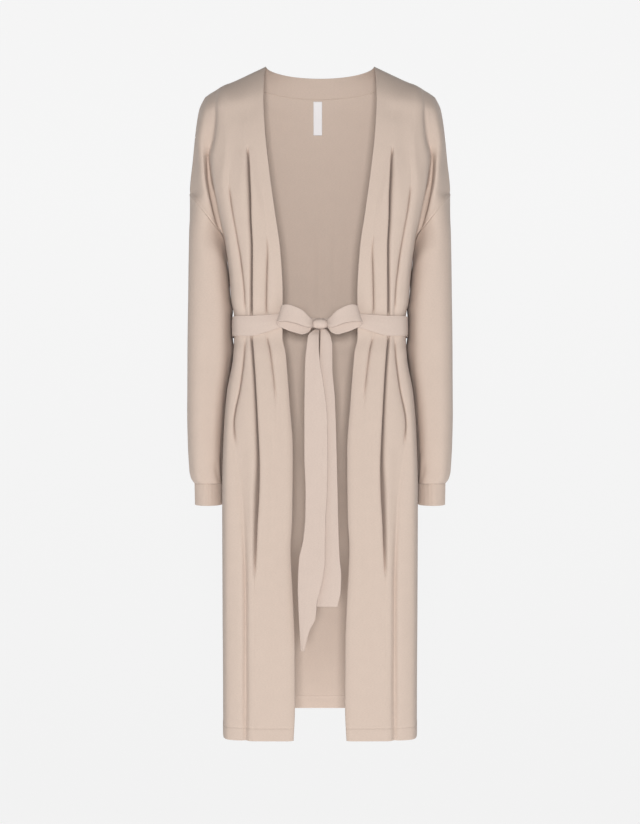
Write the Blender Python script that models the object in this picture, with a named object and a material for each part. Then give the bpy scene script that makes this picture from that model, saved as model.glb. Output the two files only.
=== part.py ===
"""Belted cardigan: a long open knit cardigan with drop shoulders and a tie belt.

It keeps the hollow form that it has when it is filled out, and hangs from its shoulders.
+Z is up, -Y is the front and +X is the wearer's left. The origin is midway between the two
neck points. Tables are in millimetres and meshes in metres.
"""
import math

import bmesh
import bpy
import numpy as np

MM = 0.001

# Cloth
WALL = 1.6
BELT_WALL = 2.4
SEAM_GAP = 0.3

# Garment lengths, down from the neck points
FRONT_HEM = -1096.0
BACK_HEM = -1080.0
LEVEL_FROM = -120.0
SHOULDER_ROUND = 60.0
UNDERARM = -340.0
CUFF_TOP = -689.0
CUFF_END = -725.0

# Belt and bow
BELT_Z = -433.0
BELT_CLEAR = 1.0
WAIST_HALF = 18.0
WAIST_EASE = 22.0
KNOT_AT = (0.0, -104.0, -431.0)
KNOT_HALF = (12.6, 9.0, 8.4)
TAIL_WALL = 2.0
LABEL_TOP, LABEL_BOTTOM = -46.0, -101.0
LABEL_ACROSS = (-10.8, 3.2)
LABEL_WALL = 0.8
LABEL_CLEAR = 1.0

CLOTH_COLOUR = (0.62, 0.50, 0.41, 1.0)
BELT_COLOUR = (0.66, 0.53, 0.44, 1.0)
LABEL_COLOUR = (0.80, 0.78, 0.78, 1.0)

# Guide lines of one front, from the open edge to the side: height, distance from the
# centre, distance forward. The first row of each lies on the shoulder seam.
OPEN_EDGE = (
    (0, 89.6, 32), (-20, 91.5, 44), (-60, 92, 62), (-113, 89.5, 78), (-176, 82.8, 88),
    (-244, 73.6, 94), (-315, 63.7, 97), (-385, 60, 93), (-433, 60.5, 88), (-481, 55, 92),
    (-562, 48.4, 99), (-633, 43.5, 102), (-740, 44.5, 106), (-790, 47, 107),
    (-870, 43.5, 109), (-946, 40.7, 110), (-1043, 40.3, 111), (FRONT_HEM, 42.5, 112),
)
BAND_SEAM = (
    (-22.5, 137, 40), (-66, 128, 62), (-86, 121, 68), (-110, 119, 76), (-147, 117, 84),
    (-215, 114, 94), (-311, 110, 98), (-384, 109.5, 93), (-433, 110.5, 86.5),
    (-480, 108, 91), (-553, 103.5, 97), (-653, 100, 102), (-712, 102, 104),
    (-795, 104.5, 106), (FRONT_HEM, 103, 111),
)
SIDE_LIP = (
    (-31, 157, 48), (-80, 155, 64), (-150, 154, 79), (-200, 157, 85), (-242, 152, 87),
    (-278, 147, 88), (-340, 140, 87), (-391, 135, 84), (-433, 130, 79), (-480, 133, 83),
    (-541, 142, 87), (-600, 147, 90), (-700, 149, 94), (FRONT_HEM, 147, 97),
)
VALLEY = (
    (-38, 170, 34), (-80, 171, 47), (-130, 177, 46), (-160, 183.5, 36), (-188, 182, 30),
    (-230, 173, 28), (-266, 164.5, 29), (-285, 157.5, 38), (-302, 153, 47), (-340, 147.5, 54),
    (-391, 143, 53), (-433, 138.5, 50), (-480, 140.5, 52), (-541, 150.5, 55),
    (-600, 155, 56), (-700, 158, 58), (FRONT_HEM, 156, 61),
)
ARM_CREST = (
    (-44.5, 181, 20), (-80, 189, 36), (-130, 195, 46), (-160, 191.5, 50), (-188, 189.5, 52),
    (-209, 186.5, 52), (-230, 181, 50), (-250, 174.5, 46), (-268, 168, 35), (-285, 158.5, 27),
    (-302, 154, 27),
    (-340, 149.5, 27), (-391, 145, 26), (-433, 140.5, 25), (-480, 142, 26),
    (-541, 152.5, 27), (-600, 157.5, 28), (-700, 160, 29), (FRONT_HEM, 158, 30),
)
OUTER = (
    (-51, 190, 0), (-61, 195.5, 0), (-71, 199.5, 0), (-104, 205, 0), (-154, 210, 0),
    (-209, 215, 0), (-222, 206, 33), (-235, 197, 47), (-248, 187, 51), (-265, 174, 43),
    (-280, 162, 24), (-302, 155, 12), (UNDERARM, 150.5, 0), (-391, 146, 0),
    (-433, 141, 0), (-480, 142.5, 0), (-541, 153, 0), (-600, 158, 0), (-700, 160.5, 0),
    (FRONT_HEM, 158.5, 0),
)

# Folds of one front: height, distance from the centre, width, depth
BAND_GROOVE = (
    (-147, 117, 5, 0.3), (-165, 116, 6, 9), (-195, 115, 7.5, 15), (-225, 113.5, 7.5, 17),
    (-260, 112.5, 6.5, 17), (-311, 110, 6, 16), (-416, 110.5, 6, 13), (-433, 110.5, 6, 2),
    (-450, 110, 6, 13), (-522, 105.5, 6.5, 16), (-593, 102, 7.5, 17), (-653, 100, 9, 17),
    (-700, 101.5, 11, 16), (-754, 103.5, 9, 12), (-800, 104.5, 8, 6), (-835, 105, 6, 0.3),
)
GROOVE_WALL = 1.5
GROOVE_LIP = 0.5
GROOVE_SHOULDER = 0.6
GROOVE_HALFWAY = 0.55
# How far the bottom of the band's fold lies under the band, as a share of its depth
GROOVE_UNDER = 0.19
BAND_CREASE = (
    (-7.8, 106, 8, 0), (-60, 106, 8, 0), (-285, 86, 5.5, 0.3), (-318, 84, 5.5, 6),
    (-350, 85, 5.5, 9), (-410, 86, 5.5, 9), (-433, 85, 7, 1), (-450, 83, 6, 6), (-522, 74, 7, 4),
    (-570, 70, 8, 0.3), (-700, 72, 12, 0), (FRONT_HEM, 74, 12, 0),
)
PANEL_CREASE = (
    (-26.7, 147, 6, 0), (-100, 140, 8, 0), (-200, 146, 5.5, 0.5), (-235, 142.5, 5.5, 6),
    (-285, 134, 5.5, 8), (-330, 126.5, 5.5, 7.5), (-386, 121, 5.5, 6), (-433, 120, 7, 0.6),
    (-474, 121, 5.5, 6), (-529, 127, 5.5, 8), (-592, 137.5, 5.5, 8), (-630, 134, 9, 0.5),
    (-720, 124, 12, 2), (-850, 119.5, 13, 6), (-1060, 119, 13, 5),
    (FRONT_HEM, 119, 13, 4.5),
)

# Place of the rounding between a front's side and its valley: shares of the way across
# and of the way back
BANK_ACROSS, BANK_BACK = 0.6, 0.27

# Back: height, depth at the centre; the rest of its form mirrors the fronts
BACK_DEPTH = (
    (0, 66), (-42, 66), (-100, 76), (-200, 83), (-330, 80), (-433, 66), (-520, 78),
    (-700, 92), (BACK_HEM, 100),
)
BACK_TO_FRONT = 0.86
BACK_SEAM_HALF = 137.0
BACK_SEAM_DEPTH = 66.0
BACK_SEAM_DROP = 41.5
BACK_SEAM_END_DROP = 22.5
NECK_HALF = 89.6
NECK_DEPTH = 55.0
NECK_DROP = 9.0
NECK_ROUND = 2.0
# Soft gathers inside the back above the belt: place across, top, bottom, width, depth
BACK_GATHERS = (
    (0.0, -240, -432, 7, 3.0), (15.0, -245, -432, 7, 2.6), (-52.0, -330, -520, 10, 3.0),
    (64.0, -320, -540, 10, 3.0), (-90.0, -300, -600, 12, 4.0), (100.0, -310, -620, 12, 4.0),
    (-30.0, -440, -700, 12, 4.0), (38.0, -440, -760, 12, 4.0),
)

# Sleeve sections: height, inner side, outer side, half depth, depth of the middle
SLEEVE = (
    (-209, 158, 215, 60, 6), (-280, 157, 216.3, 60, 6), (-355, 151.4, 217.5, 60, 4),
    (-391, 148.6, 218, 60, 3), (-433, 147.3, 218.7, 60, 2), (-480, 147.3, 219, 58, 1),
    (-541, 155.3, 219, 56, 0), (-572, 158.2, 219, 55, 0), (-620, 161.3, 218, 53, 0),
    (-668, 162.4, 215.8, 49, 0), (-682, 162.6, 212.5, 47, 0), (CUFF_TOP, 162.7, 207.5, 44, 0),
)
SLEEVE_BLEND_TOP, SLEEVE_BLEND_UNDER = 70.0, 11.0
SLEEVE_SQUARE = 0.86
SLEEVE_SQUARE_INSIDE = 0.6
LAPPED_ROWS = 3
LAP = WALL + 0.8
SLEEVE_LEVEL_TOP = -440.0
SLEEVE_STEPS = (0.0, 0.07, 0.17, 0.3, 0.45, 0.62, 0.8, 1.0)
SLEEVE_LEVELS = (-480, -520, -560, -600, -640, -668, -680, CUFF_TOP)
MIRROR = np.array([-1.0, 1.0, 1.0])
# Signs that turn each grid's normals to the outside of the garment
FRONT_TURN, BACK_TURN, NECK_TURN, SLEEVE_TURN = -1, 1, -1, 1
CUFF = ((CUFF_TOP, 163.4, 206.5, 43.0, 0.0), (CUFF_END, 163.6, 205.8, 42.0, 0.0))
CUFF_RIBS = 32
CUFF_RIB_HEIGHT = 0.7

# Belt in front: distance from the centre, middle height, half width
BELT_FRONT = (
    (0, -430, 7), (40, -427, 8.5), (61, -425.5, 10.5), (81, -429, 13), (112, -433.5, 15.8),
    (141, BELT_Z, 15.6),
)
# One bow loop, from the knot along the front layer, round its end and back behind:
# place on the way, distance from the centre, depth forward, middle height, half width, lean
LOOP = (
    (0, 12.8, 108, -430, 6, 0), (1, 18, 113, -428, 8.5, 0), (2, 28, 117, -422, 12, 0),
    (3, 40, 117.5, -417, 12.5, -1), (4, 53, 115, -414, 13, -3), (5, 61, 110.5, -414.5, 13, -4),
    (6, 63.5, 106, -417, 13, -4), (7, 60, 101.5, -422, 13, -3), (8, 49, 99.5, -428.5, 13, 0),
    (9, 38, 99.5, -432, 13, 0), (10, 28, 100, -434.5, 13, 0), (11, 18, 102, -434, 10, 0),
    (12, 12.9, 103.2, -431, 6, 0),
)
# Belt tails: height, wearer's right edge, wearer's left edge, depth forward at each edge
TAIL_RIGHT = (
    (-440.6, -9, -1, 105.2, 105.2), (-450, -18.3, -2.2, 113, 115), (-466, -20.7, -2.2, 115, 118),
    (-489, -23.2, -0.8, 116, 118), (-521, -24, 4.3, 117, 118), (-578, -24.6, 10.8, 118, 118),
    (-640, -24.6, 11.9, 118, 118), (-700, -22.6, 10.8, 118, 118), (-740, -23.2, 8.7, 119, 118),
    (-775, -26.5, 7.8, 120, 118), (-807, -33, 7.5, 121, 118), (-834, -34.5, 4.6, 122, 118),
    (-855, -34.8, -0.2, 122, 118), (-873, -34.2, -4.8, 122, 118), (-900, -33.2, -7.6, 122, 118),
    (-920, -32, -17, 122, 119), (-951, -29.8, -25, 121, 119),
)
TAIL_LEFT = (
    (-439.8, 1, 8.5, 102.6, 102.6), (-450, 1, 15.9, 107, 104.5), (-466, 0.5, 19, 108, 105),
    (-505, 0, 19.4, 108, 106), (-547, 0, 23.1, 108, 107), (-600, 1, 25.1, 108, 108),
    (-680, 1, 27.2, 108, 109), (-761, 1, 29.1, 108, 110), (-807, 2, 31, 108, 111),
    (-831, 1, 33.4, 108, 111), (-857, -2, 32.6, 108, 111), (-882, -4.8, 27.5, 108, 110),
)

# Rows of the panels: heights of a line down the centre of the garment
ARMHOLE_ROWS = (-209, -217, -226, -236, -247, -259, -271, -285, -302, -322, UNDERARM)
FRONT_ROWS = (0, -4, -14, -32, -56, -84, -114, -145, -165, -187) + ARMHOLE_ROWS + (
    -368, -394, -414, -433, -452, -480, -525, -570, -615, -655, -690, -725, -765, -815,
    -900, -1000, FRONT_HEM,
)
BACK_ROWS = (0, -5, -20, -50, -100, -155) + ARMHOLE_ROWS + (
    -385, -414, -433, -452, -500, -570, -680, -810, -950, BACK_HEM,
)

# Cells between neighbouring guide points of a row
BAND_CELLS = (1, 1, 1, 1, 1, 1)
PANEL_CELLS = (1, 1, 2, 1, 1, 2, 1, 1, 2, 2)
BACK_SIDE_CELLS = (2, 2, 1, 1)
# Places across the back where its columns meet the neckband's
NECK_COLUMNS = (BACK_SEAM_HALF, 132, 118, 97, 72, 48, 28, 14, 0)


def through(table, at):
    """Values of a smooth curve through a table's rows, with no overshoot between them."""
    rows = np.array(sorted(table), dtype=float)
    knots, values = rows[:, 0], rows[:, 1:]
    steps = np.diff(knots)[:, None]
    rise = np.diff(values, axis=0) / steps
    slopes = np.zeros_like(values)
    slopes[0], slopes[-1] = rise[0], rise[-1]
    before, after = rise[:-1], rise[1:]
    same = before * after > 0
    total = np.where(same, before + after, 1.0)
    slopes[1:-1] = np.where(same, 2 * before * after / total, 0.0)
    at = np.clip(np.asarray(at, dtype=float), knots[0], knots[-1])
    cell = np.clip(np.searchsorted(knots, at) - 1, 0, len(knots) - 2)
    span = steps[cell, 0]
    t = ((at - knots[cell]) / span)[..., None]
    span = span[..., None]
    return (values[cell] * (1 + 2 * t) * (1 - t) ** 2 + slopes[cell] * span * t * (1 - t) ** 2
            + values[cell + 1] * t * t * (3 - 2 * t) - slopes[cell + 1] * span * t * t * (1 - t))


def held_in(height):
    """Heights under the belt all take the waist's section, eased above and below it."""
    away = abs(height - BELT_Z)
    if away <= WAIST_HALF:
        return BELT_Z
    if away >= WAIST_HALF + WAIST_EASE:
        return height
    share = (away - WAIST_HALF) / WAIST_EASE
    return BELT_Z + math.copysign(share * (WAIST_HALF + WAIST_EASE), height - BELT_Z)


def filled(points, cells):
    """A smooth curve through a row's guide points, with the given cells between neighbours."""
    points = np.asarray(points, dtype=float)
    chords = np.sqrt(np.linalg.norm(np.diff(points, axis=0), axis=1))
    knots = np.concatenate(([0.0], np.cumsum(chords)))
    slopes = np.gradient(points, knots, axis=0)
    row = []
    for i, count in enumerate(cells):
        span = knots[i + 1] - knots[i]
        for k in range(count):
            t = k / count
            row.append(points[i] * (1 + 2 * t) * (1 - t) ** 2
                       + slopes[i] * span * t * (1 - t) ** 2
                       + points[i + 1] * t * t * (3 - 2 * t)
                       - slopes[i + 1] * span * t * t * (1 - t))
    row.append(points[-1])
    return np.array(row)


def cap(level):
    """How far the cloth has come forward of the shoulder seam, from 0 at the seam to 1."""
    drop = min(-level / SHOULDER_ROUND, 1.0)
    return math.sqrt(max(0.0, 1.0 - (1.0 - drop) ** 2))


def height_on(table, level):
    """A row starts along the sloping shoulder seam and is level from LEVEL_FROM down."""
    top = table[0][0]
    if level <= LEVEL_FROM:
        return level
    return top + (LEVEL_FROM - top) * level / LEVEL_FROM


def guide(table, level):
    """Point of a guide line on one row: across, forward and height."""
    height = height_on(table, level)
    across, forward = through(table, held_in(height))
    return np.array([across, -forward * cap(level), height])


def between(a, b, share):
    """Point part of the way from a to b."""
    return a + (b - a) * share


def fold_points(table, level, left, right):
    """Inner lip, bottom and outer lip of a fold that lies between two guide points."""
    height = height_on(table, level)
    across, width, depth = through(table, held_in(height))
    share = (across - left[0]) / max(right[0] - left[0], 1.0)
    base = between(left, right, share)
    lips = []
    for shift in (-width / 2, width / 2):
        lip_share = (across + shift - left[0]) / max(right[0] - left[0], 1.0)
        lips.append(between(left, right, lip_share))
    bottom = base + np.array([0.0, depth, 0.0])
    return lips[0], bottom, lips[1]


def bank_of(side, valley):
    """Point of the rounding between a front's side and its valley."""
    return side + (valley - side) * np.array([BANK_ACROSS, BANK_BACK, BANK_ACROSS])


def front_row(level):
    """Guide points of one row, from the open edge over the band's fold to the side."""
    edge = guide(OPEN_EDGE, level)
    seam = guide(BAND_SEAM, level)
    side = guide(SIDE_LIP, level)
    valley = guide(VALLEY, level)
    crest = guide(ARM_CREST, level)
    outer = guide(OUTER, level)
    height = height_on(BAND_SEAM, level)
    groove_at, width, depth = through(BAND_GROOVE, held_in(height))
    if height > BAND_GROOVE[0][0] or height < BAND_GROOVE[-1][0]:
        groove_at, width, depth = seam[0], 6.0, 0.0
    wall = min(width / 2 - GROOVE_SHOULDER, GROOVE_WALL)
    lip = width / 2 + GROOVE_LIP
    under = depth * GROOVE_UNDER
    profile = ((-lip, 0.0), (-wall - under, depth * GROOVE_HALFWAY), (-under, depth),
               (wall - under / 2, depth * GROOVE_HALFWAY), (lip, 0.0))
    shift = groove_at - seam[0]
    fall = (side[2] - edge[2]) / (side[0] - edge[0])
    groove = [seam + np.array([shift + across, sunk, (shift + across) * fall])
              for across, sunk in profile]
    band_crease = fold_points(BAND_CREASE, level, edge, groove[0])
    panel_crease = fold_points(PANEL_CREASE, level, groove[-1], side)
    bank = bank_of(side, valley)
    return [edge, *band_crease, *groove, *panel_crease, side, bank, valley, crest, outer]


def front_grid():
    """Middle surface of one front with its band, as rows of points in millimetres."""
    cells = BAND_CELLS + PANEL_CELLS
    return np.array([filled(front_row(level), cells) for level in FRONT_ROWS])


def back_top(across):
    """Height and depth of the back's top line: neck seam in the middle, then the shoulder."""
    share = min(abs(across) / BACK_SEAM_HALF, 1.0)
    depth = BACK_SEAM_DEPTH * math.sqrt(1.0 - share * share)
    height = -BACK_SEAM_DROP + (BACK_SEAM_DROP - BACK_SEAM_END_DROP) * share * share
    return height, depth


def back_point(across, level):
    """Point of the back on the column that starts at this place on its top line."""
    top, neck_depth = back_top(across)
    height = level if level <= LEVEL_FROM else top + (LEVEL_FROM - top) * level / LEVEL_FROM
    full = through(BACK_DEPTH, held_in(height))[0]
    side_across, side_depth = through(BAND_SEAM, held_in(height_on(BAND_SEAM, level)))
    share = across / BACK_SEAM_HALF
    target = full + (side_depth * BACK_TO_FRONT - full) * share ** 2
    depth = neck_depth + (target - neck_depth) * cap(level)
    return np.array([side_across * share, depth, height])


def guide_back(table, level):
    """Point of a front guide line turned to the back."""
    point = guide(table, level)
    return np.array([point[0], -point[1] * BACK_TO_FRONT, point[2]])


def gathered(row, level):
    """Push soft gathers into a row of the back."""
    for across, top, bottom, width, depth in BACK_GATHERS:
        if not bottom < level < top:
            continue
        share = (level - bottom) / (top - bottom)
        strength = math.sin(math.pi * share) ** 0.7 * depth
        row[:, 1] -= strength * np.exp(-((row[:, 0] - across) / width) ** 2)
    return row


def back_grid():
    """Middle surface of the back, from the wearer's right side to the left."""
    rows = []
    for level in BACK_ROWS:
        side = [guide_back(table, level) for table in (OUTER, ARM_CREST, VALLEY, SIDE_LIP)]
        half = list(filled(side + [back_point(BACK_SEAM_HALF, level)], BACK_SIDE_CELLS))
        half += [back_point(across, level) for across in NECK_COLUMNS[1:]]
        half = np.array(half)
        mirrored = half.copy()
        mirrored[:, 0] *= -1
        row = np.concatenate((mirrored, half[-2::-1]))
        rows.append(gathered(row, level))
    return np.array(rows)


def armhole_loop():
    """Armhole seam from the top of the arm over the front to the underarm, then the back.

    Under the arm the sleeve turns straight down beside the body, so it stands a wall clear.
    """
    front = np.array([guide(OUTER, level) for level in ARMHOLE_ROWS])
    back = np.array([guide_back(OUTER, level) for level in ARMHOLE_ROWS])
    front[-LAPPED_ROWS:, 0] += LAP
    back[-LAPPED_ROWS:, 0] += LAP
    return np.concatenate((front, back[-2:0:-1]))


def loop_turns(loop):
    """Share of a turn round the sleeve for each point of the armhole seam."""
    steps = np.linalg.norm(np.diff(np.concatenate((loop, loop[:1])), axis=0), axis=1)
    lengths = np.concatenate(([0.0], np.cumsum(steps)))
    under = len(ARMHOLE_ROWS) - 1
    front = lengths[:under + 1] / lengths[under] / 2
    back = 0.5 + (lengths[under + 1:-1] - lengths[under]) / (lengths[-1] - lengths[under]) / 2
    return np.concatenate((front, back))


def sleeve_section(height, turn):
    """Point of the sleeve's section at a height; turn runs from the outside over the front."""
    inner, outer, half_depth, middle = through(SLEEVE, height)
    angle = 2 * math.pi * turn
    square = SLEEVE_SQUARE if math.cos(angle) > 0 else SLEEVE_SQUARE_INSIDE
    across = math.copysign(abs(math.cos(angle)) ** square, math.cos(angle))
    forward = math.copysign(abs(math.sin(angle)) ** square, math.sin(angle))
    return np.array([(inner + outer) / 2 + across * (outer - inner) / 2,
                     middle - forward * half_depth, height])


def sleeve_grid():
    """Middle surface of a sleeve: rings from the armhole seam down to the cuff."""
    loop = armhole_loop()
    turns = loop_turns(loop)
    even = np.arange(len(loop)) / len(loop)
    rings = []
    for step in SLEEVE_STEPS:
        ring = []
        for start, turn in zip(loop, turns):
            height = start[2] + (SLEEVE_LEVEL_TOP - start[2]) * step
            low = (start[2] - ARMHOLE_ROWS[0]) / (UNDERARM - ARMHOLE_ROWS[0])
            reach = SLEEVE_BLEND_TOP + (SLEEVE_BLEND_UNDER - SLEEVE_BLEND_TOP) * low
            blend = min((start[2] - height) / reach, 1.0)
            blend = blend * blend * (3 - 2 * blend)
            section = sleeve_section(height, turn)
            ring.append(between(np.array([start[0], start[1], height]), section, blend))
        rings.append(ring)
    for k, height in enumerate(SLEEVE_LEVELS):
        share = min((k + 1) / 4, 1.0)
        rings.append([sleeve_section(height, turn) for turn in turns + (even - turns) * share])
    return np.array(rings)


def cuff_grid():
    """Middle surface of a cuff, with two points to each rib."""
    count = CUFF_RIBS * 2
    rings = []
    for height, inner, outer, half_depth, middle in CUFF:
        ring = []
        for k in range(count):
            angle = 2 * math.pi * k / count
            ring.append(((inner + outer) / 2 + math.cos(angle) * (outer - inner) / 2,
                         middle - math.sin(angle) * half_depth, height))
        rings.append(ring)
    return np.array(rings)


def neckband_grid():
    """Middle surface of the back neckband, from its seam with the back up to its edge."""
    columns = [-x for x in NECK_COLUMNS] + list(NECK_COLUMNS[-2::-1])
    rows = []
    for share in (0.0, 0.33, 0.67, 1.0):
        row = []
        for across in columns:
            height, depth = back_top(across)
            lift = depth / BACK_SEAM_DEPTH
            seam = np.array([across, depth, height])
            edge = np.array([across / BACK_SEAM_HALF * NECK_HALF, NECK_DEPTH * lift,
                             -NECK_DROP * lift ** 1.3])
            point = between(seam, edge, share)
            point[2] += NECK_ROUND * lift * math.sin(math.pi * share)
            row.append(point)
        rows.append(row)
    return np.array(rows)


def unit(vectors):
    """Vectors of length one along the last axis."""
    return vectors / np.maximum(np.linalg.norm(vectors, axis=-1, keepdims=True), 1e-9)


def normals_of(grid, closed):
    """Unit normals of a grid of points."""
    down = np.gradient(grid, axis=0)
    if closed:
        along = (np.roll(grid, -1, axis=1) - np.roll(grid, 1, axis=1)) / 2
    else:
        along = np.gradient(grid, axis=1)
    return unit(np.cross(along, down))


def flat_at_seams(grid, normals):
    """Keep the normals of points that lie on the seam plane, y = 0, inside that plane."""
    normals = normals.copy()
    on_plane = np.abs(grid[..., 1]) < 0.01
    flat = normals[on_plane] * np.array([1.0, 0.0, 1.0])
    length = np.linalg.norm(flat, axis=1, keepdims=True)
    across = np.sign(grid[on_plane][:, :1])
    outward = np.concatenate((0.6 * across, 0 * across, 0.8 + 0 * across), axis=1)
    normals[on_plane] = np.where(length > 0.3, flat / np.maximum(length, 1e-9), outward)
    return normals


def sideways(normal):
    """A normal turned into the plane of the side seams."""
    return unit(normal * np.array([1.0, 0.0, 1.0]))


def shared(first, second):
    """One set of unit normals for the two borders that meet at a seam."""
    return unit(first + second)


def pulled_in(grid, sides, amount, closed=False):
    """Draw the named borders of a grid in, square to the seam, to leave its gap."""
    pulled = grid.copy()
    picks = {"top": (np.s_[0], np.s_[1]), "bottom": (np.s_[-1], np.s_[-2]),
             "first": (np.s_[:, 0], np.s_[:, 1]), "last": (np.s_[:, -1], np.s_[:, -2])}
    for side in sides:
        border, inside = picks[side]
        if closed:
            along = unit(np.roll(grid[border], -1, axis=0) - np.roll(grid[border], 1, axis=0))
        else:
            along = unit(np.gradient(grid[border], axis=0))
        step = grid[inside] - grid[border]
        step -= along * np.sum(step * along, axis=-1, keepdims=True)
        pulled[border] = pulled[border] + unit(step) * amount
    return pulled


def new_material(name, colour, roughness):
    """Plain cloth finish."""
    material = bpy.data.materials.new(name)
    material.use_nodes = True
    shader = material.node_tree.nodes["Principled BSDF"]
    shader.inputs["Base Color"].default_value = colour
    shader.inputs["Roughness"].default_value = roughness
    shader.inputs["Metallic"].default_value = 0.0
    return material


def add_solid(name, vertices, faces, material):
    """A named closed mesh object with its faces turned outward."""
    mesh = bpy.data.meshes.new(name)
    mesh.from_pydata([tuple(v) for v in vertices], [], faces)
    shape = bmesh.new()
    shape.from_mesh(mesh)
    bmesh.ops.recalc_face_normals(shape, faces=shape.faces)
    if shape.calc_volume(signed=True) < 0:
        bmesh.ops.reverse_faces(shape, faces=shape.faces)
    bmesh.ops.triangulate(shape, faces=shape.faces, quad_method="SHORT_EDGE")
    shape.to_mesh(mesh)
    shape.free()
    mesh.shade_smooth()
    mesh.materials.append(material)
    solid = bpy.data.objects.new(name, mesh)
    bpy.context.scene.collection.objects.link(solid)
    return solid


def add_wall(name, grid, material, thickness=WALL, closed=False, normals=None, raised=None,
             mirror=False):
    """A cloth wall: a grid of points given a thickness and closed round its borders."""
    if normals is None:
        normals = normals_of(grid, closed)
    half = thickness / 2
    outer = grid + normals * half
    inner = grid - normals * half
    if raised is not None:
        outer = outer + normals * raised
    vertices = np.concatenate((outer.reshape(-1, 3), inner.reshape(-1, 3))) * MM
    if mirror:
        vertices = vertices * MIRROR
    rows, columns = grid.shape[:2]
    offset = rows * columns
    faces = []
    last = columns if closed else columns - 1
    for r in range(rows - 1):
        for c in range(last):
            n = (c + 1) % columns
            quad = (r * columns + c, r * columns + n, (r + 1) * columns + n, (r + 1) * columns + c)
            faces.append(quad)
            faces.append(tuple(offset + i for i in reversed(quad)))
    for r in (0, rows - 1):
        for c in range(last):
            n = (c + 1) % columns
            a, b = r * columns + c, r * columns + n
            strip = (a, b, b + offset, a + offset)
            faces.append(strip if r else strip[::-1])
    if not closed:
        for c in (0, columns - 1):
            for r in range(rows - 1):
                a, b = r * columns + c, (r + 1) * columns + c
                strip = (a, b, b + offset, a + offset)
                faces.append(strip if c == 0 else strip[::-1])
    return add_solid(name, vertices, faces, material)


def mirrored_pair(name, grid, normals, material, **options):
    """One wall for the wearer's left and its mirror image for the right."""
    add_wall(name + "_left", grid, material, normals=normals, **options)
    add_wall(name + "_right", grid, material, normals=normals, mirror=True, **options)


def add_body(cloth):
    """Fronts, bands, back, neckband and sleeves, with shared normals along their seams."""
    front = front_grid()
    back = back_grid()
    neck = neckband_grid()
    sleeve = sleeve_grid()
    front_out = flat_at_seams(front, normals_of(front, False)) * FRONT_TURN
    back_out = flat_at_seams(back, normals_of(back, False)) * BACK_TURN
    neck_out = flat_at_seams(neck, normals_of(neck, False)) * NECK_TURN
    sleeve_out = normals_of(sleeve, True) * SLEEVE_TURN

    sewn = ARMHOLE_ROWS[:-LAPPED_ROWS]
    armhole_front = [FRONT_ROWS.index(level) for level in sewn]
    armhole_back = [BACK_ROWS.index(level) for level in sewn[1:]]
    joined = shared(front_out[armhole_front, -1], sleeve_out[0, :len(sewn)])
    joined[0] = sideways(joined[0])
    front_out[armhole_front, -1] = joined
    sleeve_out[0, :len(sewn)] = joined
    back_out[BACK_ROWS.index(sewn[0]), -1] = joined[0]
    back_out[BACK_ROWS.index(sewn[0]), 0] = joined[0] * MIRROR
    back_side = sleeve_out[0, :-len(sewn):-1]
    joined = shared(back_out[armhole_back, -1], back_side)
    back_out[armhole_back, -1] = joined
    back_out[armhole_back, 0] = joined * MIRROR
    sleeve_out[0, :-len(sewn):-1] = joined
    sleeve_out[-1] = unit(sleeve_out[-1] * np.array([1.0, 1.0, 0.0]))
    first = sum(BACK_SIDE_CELLS)
    count = neck.shape[1]
    joined = shared(back_out[0, first:first + count], neck_out[0])
    back_out[0, first:first + count] = joined
    neck_out[0] = joined

    gap = SEAM_GAP / 2
    split = sum(BAND_CELLS)
    mirrored_pair("front_band", pulled_in(front[:, :split + 1], ("top", "last"), gap),
                  front_out[:, :split + 1], cloth)
    mirrored_pair("front", pulled_in(front[:, split:], ("top", "first", "last"), gap),
                  front_out[:, split:], cloth)
    mirrored_pair("sleeve", pulled_in(sleeve, ("top", "bottom"), gap, closed=True), sleeve_out,
                  cloth, closed=True)
    add_wall("back", pulled_in(back, ("top", "first", "last"), gap), cloth, normals=back_out)
    add_wall("neckband", pulled_in(neck, ("top", "first", "last"), gap), cloth,
             normals=neck_out)


def add_cuffs(cloth):
    """Ribbed cuffs, plain inside."""
    cuff = pulled_in(cuff_grid(), ("top",), SEAM_GAP / 2, closed=True)
    ribs = np.zeros(cuff.shape)
    ribs[:, ::2] = CUFF_RIB_HEIGHT
    mirrored_pair("cuff", cuff, normals_of(cuff, True) * SLEEVE_TURN, cloth, closed=True,
                  raised=ribs)


def waist_ring():
    """The waist's section as a closed ring of points, anticlockwise seen from above."""
    front = [guide(table, BELT_Z) for table in (OPEN_EDGE, BAND_SEAM, SIDE_LIP, VALLEY,
                                                ARM_CREST, OUTER)]
    front.insert(3, bank_of(front[2], front[3]))
    back = [guide_back(table, BELT_Z) for table in (ARM_CREST, VALLEY, SIDE_LIP, BAND_SEAM)]
    knot = np.array([0.0, front[0][1] - 3.0, BELT_Z])
    middle = [back_point(across, BELT_Z) for across in (72, 36, 0)]
    half = [knot, *front, *back, *middle]
    left = filled(half, (4, 3, 4, 1, 1, 1, 1, 1, 1, 2, 2, 2, 1, 1))
    right = left[-2:0:-1].copy()
    right[:, 0] *= -1
    return np.concatenate((left, right))


def belt_grid():
    """Middle surface of the belt, lying on the waist."""
    ring = waist_ring()
    along = unit(np.roll(ring, -1, axis=0) - np.roll(ring, 1, axis=0))
    outward = np.stack((along[:, 1], -along[:, 0], 0 * along[:, 0]), axis=1)
    path = ring + outward * (WALL / 2 + BELT_CLEAR + BELT_WALL / 2)
    front = path[:, 1] < 0
    middle, half = np.split(through(BELT_FRONT, np.abs(path[:, 0])), 2, axis=1)
    middle = np.where(front[:, None], middle, BELT_Z)[:, 0]
    half = np.where(front[:, None], half, BELT_FRONT[-1][2])[:, 0]
    rows = []
    for share in (1, 0, -1):
        row = path.copy()
        row[:, 2] = middle + half * share
        rows.append(row)
    return np.array(rows)


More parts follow.
